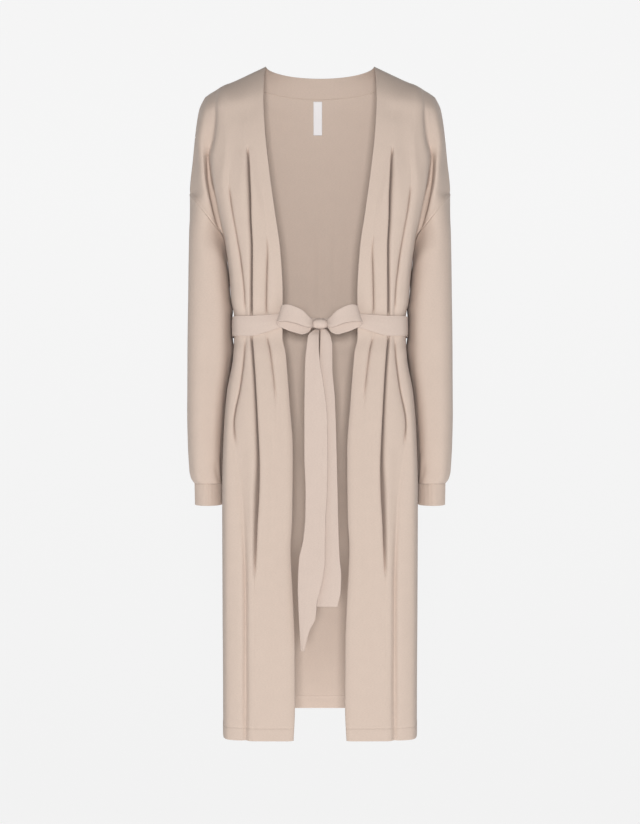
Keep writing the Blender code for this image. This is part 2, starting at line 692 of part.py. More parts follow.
def loop_grid(stretch):
    """Middle surface of a bow loop: a strip that leaves the knot and comes back behind."""
    stations = through(LOOP, np.linspace(0, 12, 25))
    rows = []
    for share in (1, 0.35, -0.35, -1):
        across, forward, middle, half, lean = stations.T
        rows.append(np.stack(((across - KNOT_HALF[0]) * stretch + KNOT_HALF[0] + lean * share,
                              -forward, middle + half * share), axis=1))
    return np.array(rows)


def tail_grid(table, curl):
    """Middle surface of a hanging belt end, bowed a little across its width."""
    heights = np.array([row[0] for row in table], dtype=float)
    first, last, first_y, last_y = through(table, heights).T
    rows = []
    for k in range(4):
        share = k / 3
        bow = curl * math.sin(math.pi * share)
        rows.append(np.stack((first + (last - first) * share,
                              -(first_y + (last_y - first_y) * share) + bow, heights), axis=1))
    return np.array(rows).transpose(1, 0, 2)


def add_knot(material):
    """The knot: a soft squared lump."""
    rings, segments, square = 9, 14, 0.8
    points = [(0, 0, 1)]
    for r in range(1, rings):
        lift = math.pi * r / rings
        for k in range(segments):
            turn = 2 * math.pi * k / segments
            points.append((math.sin(lift) * math.cos(turn), math.sin(lift) * math.sin(turn),
                           math.cos(lift)))
    points.append((0, 0, -1))
    vertices = []
    for point in points:
        soft = [math.copysign(abs(v) ** square, v) for v in point]
        vertices.append([(at + size * v) * MM for at, size, v in zip(KNOT_AT, KNOT_HALF, soft)])
    faces = []
    for k in range(segments):
        n = (k + 1) % segments
        faces.append((0, 1 + k, 1 + n))
        base = 1 + (rings - 2) * segments
        faces.append((base + n, base + k, len(points) - 1))
        for r in range(rings - 2):
            a = 1 + r * segments
            faces.append((a + k, a + segments + k, a + segments + n, a + n))
    add_solid("belt_knot", vertices, faces, material)


def add_belt(material):
    """Belt, bow loops, knot and hanging ends."""
    belt = belt_grid()
    add_wall("belt", belt, material, thickness=BELT_WALL, closed=True)
    left, right = loop_grid(1.0), loop_grid(1.03)
    add_wall("bow_loop_left", left, material, thickness=TAIL_WALL)
    add_wall("bow_loop_right", right, material, thickness=TAIL_WALL, mirror=True)
    add_knot(material)
    add_wall("belt_tail_right", tail_grid(TAIL_RIGHT, 1.5), material, thickness=TAIL_WALL)
    add_wall("belt_tail_left", tail_grid(TAIL_LEFT, -1.5), material, thickness=TAIL_WALL)


def add_label(material):
    """A bare label hanging inside the back of the neck."""
    rows = []
    for height in np.linspace(LABEL_TOP, LABEL_BOTTOM, 6):
        row = []
        for across in np.linspace(*LABEL_ACROSS, 3):
            top = back_top(across)[0]
            level = (height - top) / (LEVEL_FROM - top) * LEVEL_FROM
            point = back_point(across, level)
            depth = point[1] - WALL / 2 - LABEL_CLEAR - LABEL_WALL / 2
            row.append((across, depth, height))
        rows.append(row)
    add_wall("neck_label", np.array(rows), material, thickness=LABEL_WALL)


def build():
    """The whole cardigan."""
    for old in list(bpy.data.objects):
        bpy.data.objects.remove(old)
    cloth = new_material("knit", CLOTH_COLOUR, 0.9)
    add_body(cloth)
    add_cuffs(cloth)
    add_belt(new_material("belt_knit", BELT_COLOUR, 0.9))
    add_label(new_material("label", LABEL_COLOUR, 0.7))


build()
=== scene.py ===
"""Belted cardigan, filled out as when it is worn: its cloth, lights and camera.

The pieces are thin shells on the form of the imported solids, at a finer step, with seams,
hems, small creases and a fine knit. Tables are in millimetres and meshes in metres.
"""
import math

import bpy
import numpy as np
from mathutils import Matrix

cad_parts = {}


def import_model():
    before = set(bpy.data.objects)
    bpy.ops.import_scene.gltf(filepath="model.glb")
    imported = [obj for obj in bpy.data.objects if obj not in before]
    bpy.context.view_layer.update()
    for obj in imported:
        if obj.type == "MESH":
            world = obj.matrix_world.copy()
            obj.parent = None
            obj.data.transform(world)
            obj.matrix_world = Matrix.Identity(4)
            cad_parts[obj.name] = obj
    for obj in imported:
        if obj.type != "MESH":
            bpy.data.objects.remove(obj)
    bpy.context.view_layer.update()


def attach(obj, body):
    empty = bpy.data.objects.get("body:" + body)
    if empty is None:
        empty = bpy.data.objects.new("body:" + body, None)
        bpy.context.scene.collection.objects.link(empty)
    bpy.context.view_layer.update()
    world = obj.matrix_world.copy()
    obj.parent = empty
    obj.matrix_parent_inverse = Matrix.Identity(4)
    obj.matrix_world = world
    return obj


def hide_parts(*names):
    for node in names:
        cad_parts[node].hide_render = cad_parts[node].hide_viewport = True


MM = 0.001

# Cloth
WALL = 1.6
BELT_WALL = 2.4
SEAM_GAP = 0.3

# Garment lengths, down from the neck points
FRONT_HEM = -1096.0
BACK_HEM = -1080.0
LEVEL_FROM = -120.0
SHOULDER_ROUND = 60.0
UNDERARM = -340.0
CUFF_TOP = -689.0
CUFF_END = -725.0

# Belt and bow
BELT_Z = -433.0
BELT_CLEAR = 1.0
WAIST_HALF = 18.0
WAIST_EASE = 22.0
KNOT_AT = (0.0, -104.0, -431.0)
KNOT_HALF = (12.6, 9.0, 8.4)
TAIL_WALL = 2.0
LABEL_TOP, LABEL_BOTTOM = -46.0, -101.0
LABEL_ACROSS = (-10.8, 3.2)
LABEL_WALL = 0.8
LABEL_CLEAR = 1.0

# Guide lines of one front, from the open edge to the side: height, distance from the
# centre, distance forward. The first row of each lies on the shoulder seam.
OPEN_EDGE = (
    (0, 89.6, 32), (-20, 91.5, 44), (-60, 92, 62), (-113, 89.5, 78), (-176, 82.8, 88),
    (-244, 73.6, 94), (-315, 63.7, 97), (-385, 60, 93), (-433, 60.5, 88), (-481, 55, 92),
    (-562, 48.4, 99), (-633, 43.5, 102), (-740, 44.5, 106), (-790, 47, 107),
    (-870, 43.5, 109), (-946, 40.7, 110), (-1043, 40.3, 111), (FRONT_HEM, 42.5, 112),
)
BAND_SEAM = (
    (-22.5, 137, 40), (-66, 128, 62), (-86, 121, 68), (-110, 119, 76), (-147, 117, 84),
    (-215, 114, 94), (-311, 110, 98), (-384, 109.5, 93), (-433, 110.5, 86.5),
    (-480, 108, 91), (-553, 103.5, 97), (-653, 100, 102), (-712, 102, 104),
    (-795, 104.5, 106), (FRONT_HEM, 103, 111),
)
SIDE_LIP = (
    (-31, 157, 48), (-80, 155, 64), (-150, 154, 79), (-200, 157, 85), (-242, 152, 87),
    (-278, 147, 88), (-340, 140, 87), (-391, 135, 84), (-433, 130, 79), (-480, 133, 83),
    (-541, 142, 87), (-600, 147, 90), (-700, 149, 94), (FRONT_HEM, 147, 97),
)
VALLEY = (
    (-38, 170, 34), (-80, 171, 47), (-130, 177, 46), (-160, 183.5, 36), (-188, 182, 30),
    (-230, 173, 28), (-266, 164.5, 29), (-285, 157.5, 38), (-302, 153, 47), (-340, 147.5, 54),
    (-391, 143, 53), (-433, 138.5, 50), (-480, 140.5, 52), (-541, 150.5, 55),
    (-600, 155, 56), (-700, 158, 58), (FRONT_HEM, 156, 61),
)
ARM_CREST = (
    (-44.5, 181, 20), (-80, 189, 36), (-130, 195, 46), (-160, 191.5, 50), (-188, 189.5, 52),
    (-209, 186.5, 52), (-230, 181, 50), (-250, 174.5, 46), (-268, 168, 35), (-285, 158.5, 27),
    (-302, 154, 27),
    (-340, 149.5, 27), (-391, 145, 26), (-433, 140.5, 25), (-480, 142, 26),
    (-541, 152.5, 27), (-600, 157.5, 28), (-700, 160, 29), (FRONT_HEM, 158, 30),
)
OUTER = (
    (-51, 190, 0), (-61, 195.5, 0), (-71, 199.5, 0), (-104, 205, 0), (-154, 210, 0),
    (-209, 215, 0), (-222, 206, 33), (-235, 197, 47), (-248, 187, 51), (-265, 174, 43),
    (-280, 162, 24), (-302, 155, 12), (UNDERARM, 150.5, 0), (-391, 146, 0),
    (-433, 141, 0), (-480, 142.5, 0), (-541, 153, 0), (-600, 158, 0), (-700, 160.5, 0),
    (FRONT_HEM, 158.5, 0),
)

# Folds of one front: height, distance from the centre, width, depth
BAND_GROOVE = (
    (-147, 117, 5, 0.3), (-165, 116, 6, 9), (-195, 115, 7.5, 15), (-225, 113.5, 7.5, 17),
    (-260, 112.5, 6.5, 17), (-311, 110, 6, 16), (-416, 110.5, 6, 13), (-433, 110.5, 6, 2),
    (-450, 110, 6, 13), (-522, 105.5, 6.5, 16), (-593, 102, 7.5, 17), (-653, 100, 9, 17),
    (-700, 101.5, 11, 16), (-754, 103.5, 9, 12), (-800, 104.5, 8, 6), (-835, 105, 6, 0.3),
)
GROOVE_WALL = 1.5
GROOVE_LIP = 0.5
GROOVE_SHOULDER = 0.6
GROOVE_HALFWAY = 0.55
# How far the bottom of the band's fold lies under the band, as a share of its depth
GROOVE_UNDER = 0.19
BAND_CREASE = (
    (-7.8, 106, 8, 0), (-60, 106, 8, 0), (-285, 86, 5.5, 0.3), (-318, 84, 5.5, 6),
    (-350, 85, 5.5, 9), (-410, 86, 5.5, 9), (-433, 85, 7, 1), (-450, 83, 6, 6), (-522, 74, 7, 4),
    (-570, 70, 8, 0.3), (-700, 72, 12, 0), (FRONT_HEM, 74, 12, 0),
)
PANEL_CREASE = (
    (-26.7, 147, 6, 0), (-100, 140, 8, 0), (-200, 146, 5.5, 0.5), (-235, 142.5, 5.5, 6),
    (-285, 134, 5.5, 8), (-330, 126.5, 5.5, 7.5), (-386, 121, 5.5, 6), (-433, 120, 7, 0.6),
    (-474, 121, 5.5, 6), (-529, 127, 5.5, 8), (-592, 137.5, 5.5, 8), (-630, 134, 9, 0.5),
    (-720, 124, 12, 2), (-850, 119.5, 13, 6), (-1060, 119, 13, 5),
    (FRONT_HEM, 119, 13, 4.5),
)

# Place of the rounding between a front's side and its valley: shares of the way across
# and of the way back
BANK_ACROSS, BANK_BACK = 0.6, 0.27

# Back: height, depth at the centre; the rest of its form mirrors the fronts
BACK_DEPTH = (
    (0, 66), (-42, 66), (-100, 76), (-200, 83), (-330, 80), (-433, 66), (-520, 78),
    (-700, 92), (BACK_HEM, 100),
)
BACK_TO_FRONT = 0.86
BACK_SEAM_HALF = 137.0
BACK_SEAM_DEPTH = 66.0
BACK_SEAM_DROP = 41.5
BACK_SEAM_END_DROP = 22.5
NECK_HALF = 89.6
NECK_DEPTH = 55.0
NECK_DROP = 9.0
NECK_ROUND = 2.0
# Soft gathers inside the back above the belt: place across, top, bottom, width, depth
BACK_GATHERS = (
    (0.0, -240, -432, 7, 3.0), (15.0, -245, -432, 7, 2.6), (-52.0, -330, -520, 10, 3.0),
    (64.0, -320, -540, 10, 3.0), (-90.0, -300, -600, 12, 4.0), (100.0, -310, -620, 12, 4.0),
    (-30.0, -440, -700, 12, 4.0), (38.0, -440, -760, 12, 4.0),
)

# Sleeve sections: height, inner side, outer side, half depth, depth of the middle
SLEEVE = (
    (-209, 158, 215, 60, 6), (-280, 157, 216.3, 60, 6), (-355, 151.4, 217.5, 60, 4),
    (-391, 148.6, 218, 60, 3), (-433, 147.3, 218.7, 60, 2), (-480, 147.3, 219, 58, 1),
    (-541, 155.3, 219, 56, 0), (-572, 158.2, 219, 55, 0), (-620, 161.3, 218, 53, 0),
    (-668, 162.4, 215.8, 49, 0), (-682, 162.6, 212.5, 47, 0), (CUFF_TOP, 162.7, 207.5, 44, 0),
)
SLEEVE_BLEND_TOP, SLEEVE_BLEND_UNDER = 70.0, 11.0
SLEEVE_SQUARE = 0.86
SLEEVE_SQUARE_INSIDE = 0.6
LAP_FROM, LAP_TO = -285.0, -302.0
LAP = WALL + 0.8
SLEEVE_LEVEL_TOP = -440.0
MIRROR = np.array([-1.0, 1.0, 1.0])
# Signs that turn each grid's normals to the outside of the garment
FRONT_TURN, BACK_TURN, NECK_TURN, SLEEVE_TURN = -1, 1, -1, 1
CUFF = ((CUFF_TOP, 163.4, 206.5, 43.0, 0.0), (CUFF_END, 163.6, 205.8, 42.0, 0.0))
CUFF_RIBS = 64
CUFF_RIB_HEIGHT = 0.6

# Belt in front: distance from the centre, middle height, half width
BELT_FRONT = (
    (0, -430, 7), (40, -427, 8.5), (61, -425.5, 10.5), (81, -429, 13), (112, -433.5, 15.8),
    (141, BELT_Z, 15.6),
)
# One bow loop, from the knot along the front layer, round its end and back behind:
# place on the way, distance from the centre, depth forward, middle height, half width, lean
LOOP = (
    (0, 12.8, 108, -430, 6, 0), (1, 18, 113, -428, 8.5, 0), (2, 28, 117, -422, 12, 0),
    (3, 40, 117.5, -417, 12.5, -1), (4, 53, 115, -414, 13, -3), (5, 61, 110.5, -414.5, 13, -4),
    (6, 63.5, 106, -417, 13, -4), (7, 60, 101.5, -422, 13, -3), (8, 49, 99.5, -428.5, 13, 0),
    (9, 38, 99.5, -432, 13, 0), (10, 28, 100, -434.5, 13, 0), (11, 18, 102, -434, 10, 0),
    (12, 12.9, 103.2, -431, 6, 0),
)
# Belt tails: height, wearer's right edge, wearer's left edge, depth forward at each edge
TAIL_RIGHT = (
    (-440.6, -9, -1, 105.2, 105.2), (-450, -18.3, -2.2, 113, 115), (-466, -20.7, -2.2, 115, 118),
    (-489, -23.2, -0.8, 116, 118), (-521, -24, 4.3, 117, 118), (-578, -24.6, 10.8, 118, 118),
    (-640, -24.6, 11.9, 118, 118), (-700, -22.6, 10.8, 118, 118), (-740, -23.2, 8.7, 119, 118),
    (-775, -26.5, 7.8, 120, 118), (-807, -33, 7.5, 121, 118), (-834, -34.5, 4.6, 122, 118),
    (-855, -34.8, -0.2, 122, 118), (-873, -34.2, -4.8, 122, 118), (-900, -33.2, -7.6, 122, 118),
    (-920, -32, -17, 122, 119), (-951, -29.8, -25, 121, 119),
)
TAIL_LEFT = (
    (-439.8, 1, 8.5, 102.6, 102.6), (-450, 1, 15.9, 107, 104.5), (-466, 0.5, 19, 108, 105),
    (-505, 0, 19.4, 108, 106), (-547, 0, 23.1, 108, 107), (-600, 1, 25.1, 108, 108),
    (-680, 1, 27.2, 108, 109), (-761, 1, 29.1, 108, 110), (-807, 2, 31, 108, 111),
    (-831, 1, 33.4, 108, 111), (-857, -2, 32.6, 108, 111), (-882, -4.8, 27.5, 108, 110),
)

# Rows of the panels: heights of a line down the centre of the garment
ARMHOLE_ROWS = (-209, -217, -226, -236, -247, -259, -271, -285, -302, -322, UNDERARM)
HEM_DEPTH = 20.0
HEM_ROWS = (26.0, 23.0, 21.4, 20.6, 20.0, 19.4, 18.6, 17.0, 13.0, 8.0, 3.5, 1.2, 0.0)
FRONT_ROWS = (0, -4, -14, -32, -56, -84, -114, -145, -165, -187) + ARMHOLE_ROWS + (
    -368, -394, -414, -433, -452, -480, -525, -570, -615, -655, -690, -725, -765, -815,
    -900, -1000,
)
BACK_ROWS = (0, -1.5, -5, -9, -20, -50, -100, -155) + ARMHOLE_ROWS + (
    -385, -414, -433, -452, -500, -570, -680, -810, -950,
)
ROW_STEP = 5.0

# Columns: shares of the way between neighbouring guide points
EVEN_4 = (0.0, 0.25, 0.5, 0.75)
EVEN_6 = (0.0, 0.167, 0.333, 0.5, 0.667, 0.833)
EVEN_10 = (0.0, 0.1, 0.2, 0.3, 0.4, 0.5, 0.6, 0.7, 0.8, 0.9)
FROM_EDGE = (0.0, 0.05, 0.12, 0.22, 0.34, 0.5, 0.68, 0.85)
TO_SEAM = (0.0, 0.2, 0.38, 0.54, 0.68, 0.8, 0.9, 0.96)
BAND_STEPS = (FROM_EDGE, EVEN_4, EVEN_4, EVEN_10, EVEN_6, EVEN_6)
PANEL_STEPS = (EVEN_6, EVEN_6, EVEN_10, EVEN_6, EVEN_6, EVEN_10, EVEN_6, EVEN_10, EVEN_10,
               TO_SEAM)
BACK_SIDE_STEPS = (FROM_EDGE, EVEN_10, EVEN_10, EVEN_10)
NECK_PLACES = (
    BACK_SEAM_HALF, 136, 134.5, 132, 129, 125, 121, 116, 110, 104, 98, 92, 86, 80, 74, 68,
    62, 56, 50, 44, 38, 33, 28, 24, 20, 16, 12, 8, 4, 0,
)
NECK_SHARES = (0.0, 0.03, 0.07, 0.13, 0.22, 0.33, 0.45, 0.57, 0.68, 0.79, 0.88, 0.94, 0.98, 1.0)
WAIST_STEPS = tuple(
    tuple(k / count for k in range(count)) for count in (16, 12, 8, 6, 4, 6, 6, 6, 6, 8, 8, 8, 6, 6)
)

# Sleeve rings: shares of the way from the armhole seam to the first level ring, then heights
SLEEVE_STEPS = (
    0.0, 0.004, 0.009, 0.015, 0.025, 0.045, 0.07, 0.1, 0.135, 0.17, 0.21, 0.25, 0.3, 0.35,
    0.4, 0.45, 0.5, 0.56, 0.62, 0.68, 0.74, 0.8, 0.87, 0.94, 1.0,
)
SLEEVE_LEVEL_TOP = -440.0
SLEEVE_EVENED = 160.0
SLEEVE_LEVELS = (
    -447, -454, -461, -468, -475, -482, -489, -496, -503, -510, -517, -524, -531, -538, -545,
    -552, -559, -566, -573, -580, -587, -594, -601, -608, -615, -622, -629, -636, -643, -650,
    -656, -662, -667, -671, -675, -678, -681, -684, -686, -687.5, CUFF_TOP,
)

# Creases: from and to (across, height), width, height of the ridge (a trough is negative), bow
BAND_MARKS = (
    (104, -205, 88, -270, 5.0, 0.9, 2), (88, -262, 83, -330, 4.5, 0.8, 1),
    (100, -150, 92, -240, 9.0, -0.7, 3), (70, -340, 72, -412, 6.0, 0.6, 0),
    (80, -470, 68, -640, 7.0, 0.9, 3), (62, -480, 56, -640, 6.0, -0.8, 2),
    (88, -560, 84, -800, 9.0, 0.7, -3), (70, -700, 74, -960, 10.0, -0.8, 3),
    (92, -820, 95, -1050, 9.0, 0.6, 2), (58, -900, 62, -1075, 8.0, 0.5, -2),
)
PANEL_MARKS = (
    (171, -78, 173, -150, 9.0, -1.2, 0), (149, -105, 150, -190, 6.0, 1.1, 0),
    (158, -120, 165, -215, 6.0, -0.7, 2), (130, -60, 134, -170, 9.0, -0.8, 2),
    (125, -150, 128, -250, 6.0, 0.7, -2), (139, -230, 128, -330, 5.0, 0.6, 2),
    (200, -120, 207, -200, 4.0, -0.9, 1), (147, -300, 136, -400, 6.0, -0.7, 2),
    (128, -340, 124, -410, 5.0, 0.7, 0), (127, -452, 136, -560, 6.0, 0.6, 3),
    (134, -470, 146, -600, 7.0, -0.6, -3), (124, -600, 112, -800, 9.0, -0.9, 3),
    (140, -610, 136, -820, 10.0, 0.9, 3), (128, -760, 130, -1000, 9.0, 0.6, -3),
    (110, -690, 104, -900, 8.0, 0.8, 2), (146, -820, 148, -1060, 9.0, -0.6, 2),
    (118, -960, 122, -1070, 8.0, -0.5, -2), (154, -640, 156, -900, 6.0, -0.6, -1),
    (184, -150, 155, -300, 4.0, -5.0, 4.5), (171, -45, 180, -150, 5.0, 1.6, 0),
)
BACK_MARKS = (
    (-88, -110, -100, -300, 14.0, -1.6, 6), (92, -120, 84, -290, 13.0, -1.4, -5),
    (-60, -190, -52, -400, 11.0, 1.0, 4), (50, -210, 58, -395, 10.0, 0.9, -4),
    (-25, -310, -20, -424, 7.0, -1.3, 2), (32, -300, 26, -424, 7.0, -1.1, -2),
    (-74, -330, -68, -422, 7.0, -1.2, 3), (80, -345, 72, -422, 6.5, -1.3, -3),
    (112, -300, 104, -420, 8.0, 1.0, 2), (-114, -280, -106, -420, 8.0, 1.1, -3),
    (-12, -445, -22, -650, 9.0, 1.2, 5), (22, -445, 30, -610, 8.0, 1.3, -4),
    (-50, -446, -62, -760, 10.0, -1.5, 6), (54, -446, 66, -720, 10.0, -1.3, -6),
    (-84, -446, -96, -700, 9.0, 1.2, 4), (88, -446, 104, -760, 10.0, 1.1, -5),
    (0, -600, 6, -960, 16.0, -1.6, 8), (-40, -700, -36, -1040, 14.0, 1.3, -6),
    (46, -740, 40, -1050, 13.0, 1.2, 5), (-104, -680, -110, -1050, 14.0, -1.4, 5),
    (110, -640, 112, -1040, 13.0, -1.2, -5), (-128, -480, -138, -820, 9.0, 0.9, -3),
    (130, -500, 140, -860, 9.0, 0.8, 3), (78, -860, 82, -1070, 12.0, 0.9, 3),
    (-74, -880, -70, -1066, 12.0, -0.9, -3),
)
# Creases of a sleeve: around from the outside over the front, and height
SLEEVE_MARKS = (
    (66, -290, 74, -668, 13.0, -2.2, 4), (42, -250, 46, -640, 12.0, 1.3, -3),
    (98, -330, 96, -600, 12.0, 1.3, 3), (118, -420, 110, -640, 9.0, -0.9, 3),
    (18, -330, 14, -560, 10.0, -0.9, 3), (88, -500, 84, -668, 7.0, 0.8, -2),
    (112, -606, 108, -688, 4.0, -2.7, 1), (102, -634, 101, -688, 3.5, -2.1, 0),
    (84, -650, 84, -688, 3.5, -1.4, 0), (60, -644, 61, -688, 4.0, -1.8, 0),
    (36, -652, 37, -688, 3.5, -1.3, 0), (12, -640, 13, -688, 4.0, -1.6, 0),
    (138, -630, 134, -688, 4.0, -2.1, 1), (160, -646, 156, -688, 3.5, -1.6, 0),
    (186, -630, 180, -688, 4.0, -1.9, 1), (212, -650, 204, -688, 3.5, -1.4, 0),
    (236, -636, 222, -688, 4.0, -1.8, 0),
    (196, -280, 204, -620, 12.0, -1.6, 5), (228, -320, 226, -590, 11.0, 1.3, -4),
    (170, -360, 172, -560, 10.0, 1.1, 3), (246, -260, 252, -520, 11.0, -1.2, -4),
    (150, -400, 160, -470, 6.0, -0.8, 2), (56, -470, 86, -500, 6.0, -0.6, 2),
    (190, -440, 224, -470, 6.0, -0.7, 2), (186, -500, 216, -516, 6.0, -0.5, -2),
    (105, -403, 215, -403, 7.0, 2.4, 0), (105, -468, 215, -468, 13.0, 2.8, 0),
)

# How much deeper the soft cloth lies in the band's fold than the solid does
FOLD_DEEPER = 1.8
# Guide points of a front at the bottoms of its fold and valley, and how tightly they bend
DEEP_POINTS = (6, 14)
CREASED = 0.15
CREASED_FROM, CREASED_FULL = -125.0, -165.0

# Edge rolls, seams and hems
EDGE_ROLL = 4.2
EDGE_ROLL_WIDTH = 11.0
EDGE_ROLL_TOP, EDGE_ROLL_FULL = -440.0, -560.0
HEM_SWELL = 0.35
STITCH_DEPTH = 0.55
STITCH_WIDTH = 0.75
SEAM_DEPTH = 0.5
SEAM_WIDTH = 1.1
RIDGE_AT = 3.0
RIDGE_WIDTH = 1.5
RIDGE_HEIGHT = 0.6
RIM = 0.45

# Knit and colours
WALE = 1.15
COURSE = 0.85
CLOTH_COLOUR = (0.600, 0.484, 0.410)
BELT_COLOUR = (0.600, 0.488, 0.424)
LABEL_COLOUR = (0.82, 0.80, 0.81)

# Camera and lights
IMAGE_HEIGHT = 824
PIXELS_PER_METRE = 603.0
CAMERA_AWAY = 2.8
CAMERA_HEIGHT = -0.572
FLOOR = -1.45


def through(table, at):
    """Values of a smooth curve through a table's rows, with no overshoot between them."""
    rows = np.array(sorted(table), dtype=float)
    knots, values = rows[:, 0], rows[:, 1:]
    steps = np.diff(knots)[:, None]
    rise = np.diff(values, axis=0) / steps
    slopes = np.zeros_like(values)
    slopes[0], slopes[-1] = rise[0], rise[-1]
    before, after = rise[:-1], rise[1:]
    same = before * after > 0
    total = np.where(same, before + after, 1.0)
    slopes[1:-1] = np.where(same, 2 * before * after / total, 0.0)
    at = np.clip(np.asarray(at, dtype=float), knots[0], knots[-1])
    cell = np.clip(np.searchsorted(knots, at) - 1, 0, len(knots) - 2)
    span = steps[cell, 0]
    t = ((at - knots[cell]) / span)[..., None]
    span = span[..., None]
    return (values[cell] * (1 + 2 * t) * (1 - t) ** 2 + slopes[cell] * span * t * (1 - t) ** 2
            + values[cell + 1] * t * t * (3 - 2 * t) - slopes[cell + 1] * span * t * t * (1 - t))


def held_in(height):
    """Heights under the belt all take the waist's section, eased above and below it."""
    away = abs(height - BELT_Z)
    if away <= WAIST_HALF:
        return BELT_Z
    if away >= WAIST_HALF + WAIST_EASE:
        return height
    share = (away - WAIST_HALF) / WAIST_EASE
    return BELT_Z + math.copysign(share * (WAIST_HALF + WAIST_EASE), height - BELT_Z)


def filled(points, cells, creased=1.0):
    """A smooth curve through a row's guide points; each cell has shares of the way across.

    The bottoms of a front's deep folds bend as tightly as creased says, 1 being softest.
    """
    points = np.asarray(points, dtype=float)
    chords = np.sqrt(np.linalg.norm(np.diff(points, axis=0), axis=1))
    knots = np.concatenate(([0.0], np.cumsum(chords)))
    slopes = np.gradient(points, knots, axis=0)
    if creased < 1.0:
        slopes[list(DEEP_POINTS)] *= creased
    row = []
    for i, steps in enumerate(cells):
        span = knots[i + 1] - knots[i]
        for t in steps:
            row.append(points[i] * (1 + 2 * t) * (1 - t) ** 2
                       + slopes[i] * span * t * (1 - t) ** 2
                       + points[i + 1] * t * t * (3 - 2 * t)
                       - slopes[i + 1] * span * t * t * (1 - t))
    row.append(points[-1])
    return np.array(row)


def cap(level):
    """How far the cloth has come forward of the shoulder seam, from 0 at the seam to 1."""
    drop = min(-level / SHOULDER_ROUND, 1.0)
    return math.sqrt(max(0.0, 1.0 - (1.0 - drop) ** 2))


def height_on(table, level):
    """A row starts along the sloping shoulder seam and is level from LEVEL_FROM down."""
    top = table[0][0]
    if level <= LEVEL_FROM:
        return level
    return top + (LEVEL_FROM - top) * level / LEVEL_FROM


def guide(table, level):
    """Point of a guide line on one row: across, forward and height."""
    height = height_on(table, level)
    across, forward = through(table, held_in(height))
    return np.array([across, -forward * cap(level), height])


def between(a, b, share):
    """Point part of the way from a to b."""
    return a + (b - a) * share


def fold_points(table, level, left, right):
    """Inner lip, bottom and outer lip of a fold that lies between two guide points."""
    height = height_on(table, level)
    across, width, depth = through(table, held_in(height))
    share = (across - left[0]) / max(right[0] - left[0], 1.0)
    base = between(left, right, share)
    lips = []
    for shift in (-width / 2, width / 2):
        lip_share = (across + shift - left[0]) / max(right[0] - left[0], 1.0)
        lips.append(between(left, right, lip_share))
    bottom = base + np.array([0.0, depth, 0.0])
    return lips[0], bottom, lips[1]


def bank_of(side, valley):
    """Point of the rounding between a front's side and its valley."""
    return side + (valley - side) * np.array([BANK_ACROSS, BANK_BACK, BANK_ACROSS])


def front_row(level):
    """Guide points of one row, from the open edge over the band's fold to the side."""
    edge = guide(OPEN_EDGE, level)
    seam = guide(BAND_SEAM, level)
    side = guide(SIDE_LIP, level)
    valley = guide(VALLEY, level)
    crest = guide(ARM_CREST, level)
    outer = guide(OUTER, level)
    height = height_on(BAND_SEAM, level)
    groove_at, width, depth = through(BAND_GROOVE, held_in(height))
    depth *= FOLD_DEEPER
    if height > BAND_GROOVE[0][0] or height < BAND_GROOVE[-1][0]:
        groove_at, width, depth = seam[0], 6.0, 0.0
    wall = min(width / 2 - GROOVE_SHOULDER, GROOVE_WALL)
    lip = width / 2 + GROOVE_LIP
    under = depth * GROOVE_UNDER
    profile = ((-lip, 0.0), (-wall - under, depth * GROOVE_HALFWAY), (-under, depth),
               (wall - under / 2, depth * GROOVE_HALFWAY), (lip, 0.0))
    shift = groove_at - seam[0]
    fall = (side[2] - edge[2]) / (side[0] - edge[0])
    groove = [seam + np.array([shift + across, sunk, (shift + across) * fall])
              for across, sunk in profile]
    band_crease = fold_points(BAND_CREASE, level, edge, groove[0])
    panel_crease = fold_points(PANEL_CREASE, level, groove[-1], side)
    bank = bank_of(side, valley)
    return [edge, *band_crease, *groove, *panel_crease, side, bank, valley, crest, outer]


def tightness(level):
    """How softly the deep folds bend on one row: softly by the shoulder, tightly below it."""
    share = min(max((CREASED_FROM - level) / (CREASED_FROM - CREASED_FULL), 0.0), 1.0)
    return 1.0 + (CREASED - 1.0) * share


def front_grid():
    """Middle surface of one front with its band, as rows of points in millimetres."""
    cells = BAND_STEPS + PANEL_STEPS
    return np.array([filled(front_row(level), cells, tightness(level)) for level in FRONT_LEVELS])


def back_top(across):
    """Height and depth of the back's top line: neck seam in the middle, then the shoulder."""
    share = min(abs(across) / BACK_SEAM_HALF, 1.0)
    depth = BACK_SEAM_DEPTH * math.sqrt(1.0 - share * share)
    height = -BACK_SEAM_DROP + (BACK_SEAM_DROP - BACK_SEAM_END_DROP) * share * share
    return height, depth


def back_point(across, level):
    """Point of the back on the column that starts at this place on its top line."""
    top, neck_depth = back_top(across)
    height = level if level <= LEVEL_FROM else top + (LEVEL_FROM - top) * level / LEVEL_FROM
    full = through(BACK_DEPTH, held_in(height))[0]
    side_across, side_depth = through(BAND_SEAM, held_in(height_on(BAND_SEAM, level)))
    share = across / BACK_SEAM_HALF
    target = full + (side_depth * BACK_TO_FRONT - full) * share ** 2
    depth = neck_depth + (target - neck_depth) * cap(level)
    return np.array([side_across * share, depth, height])


def guide_back(table, level):
    """Point of a front guide line turned to the back."""
    point = guide(table, level)
    return np.array([point[0], -point[1] * BACK_TO_FRONT, point[2]])


def gathered(row, level):
    """Push soft gathers into a row of the back."""
    for across, top, bottom, width, depth in BACK_GATHERS:
        if not bottom < level < top:
            continue
        share = (level - bottom) / (top - bottom)
        strength = math.sin(math.pi * share) ** 0.7 * depth
        row[:, 1] -= strength * np.exp(-((row[:, 0] - across) / width) ** 2)
    return row


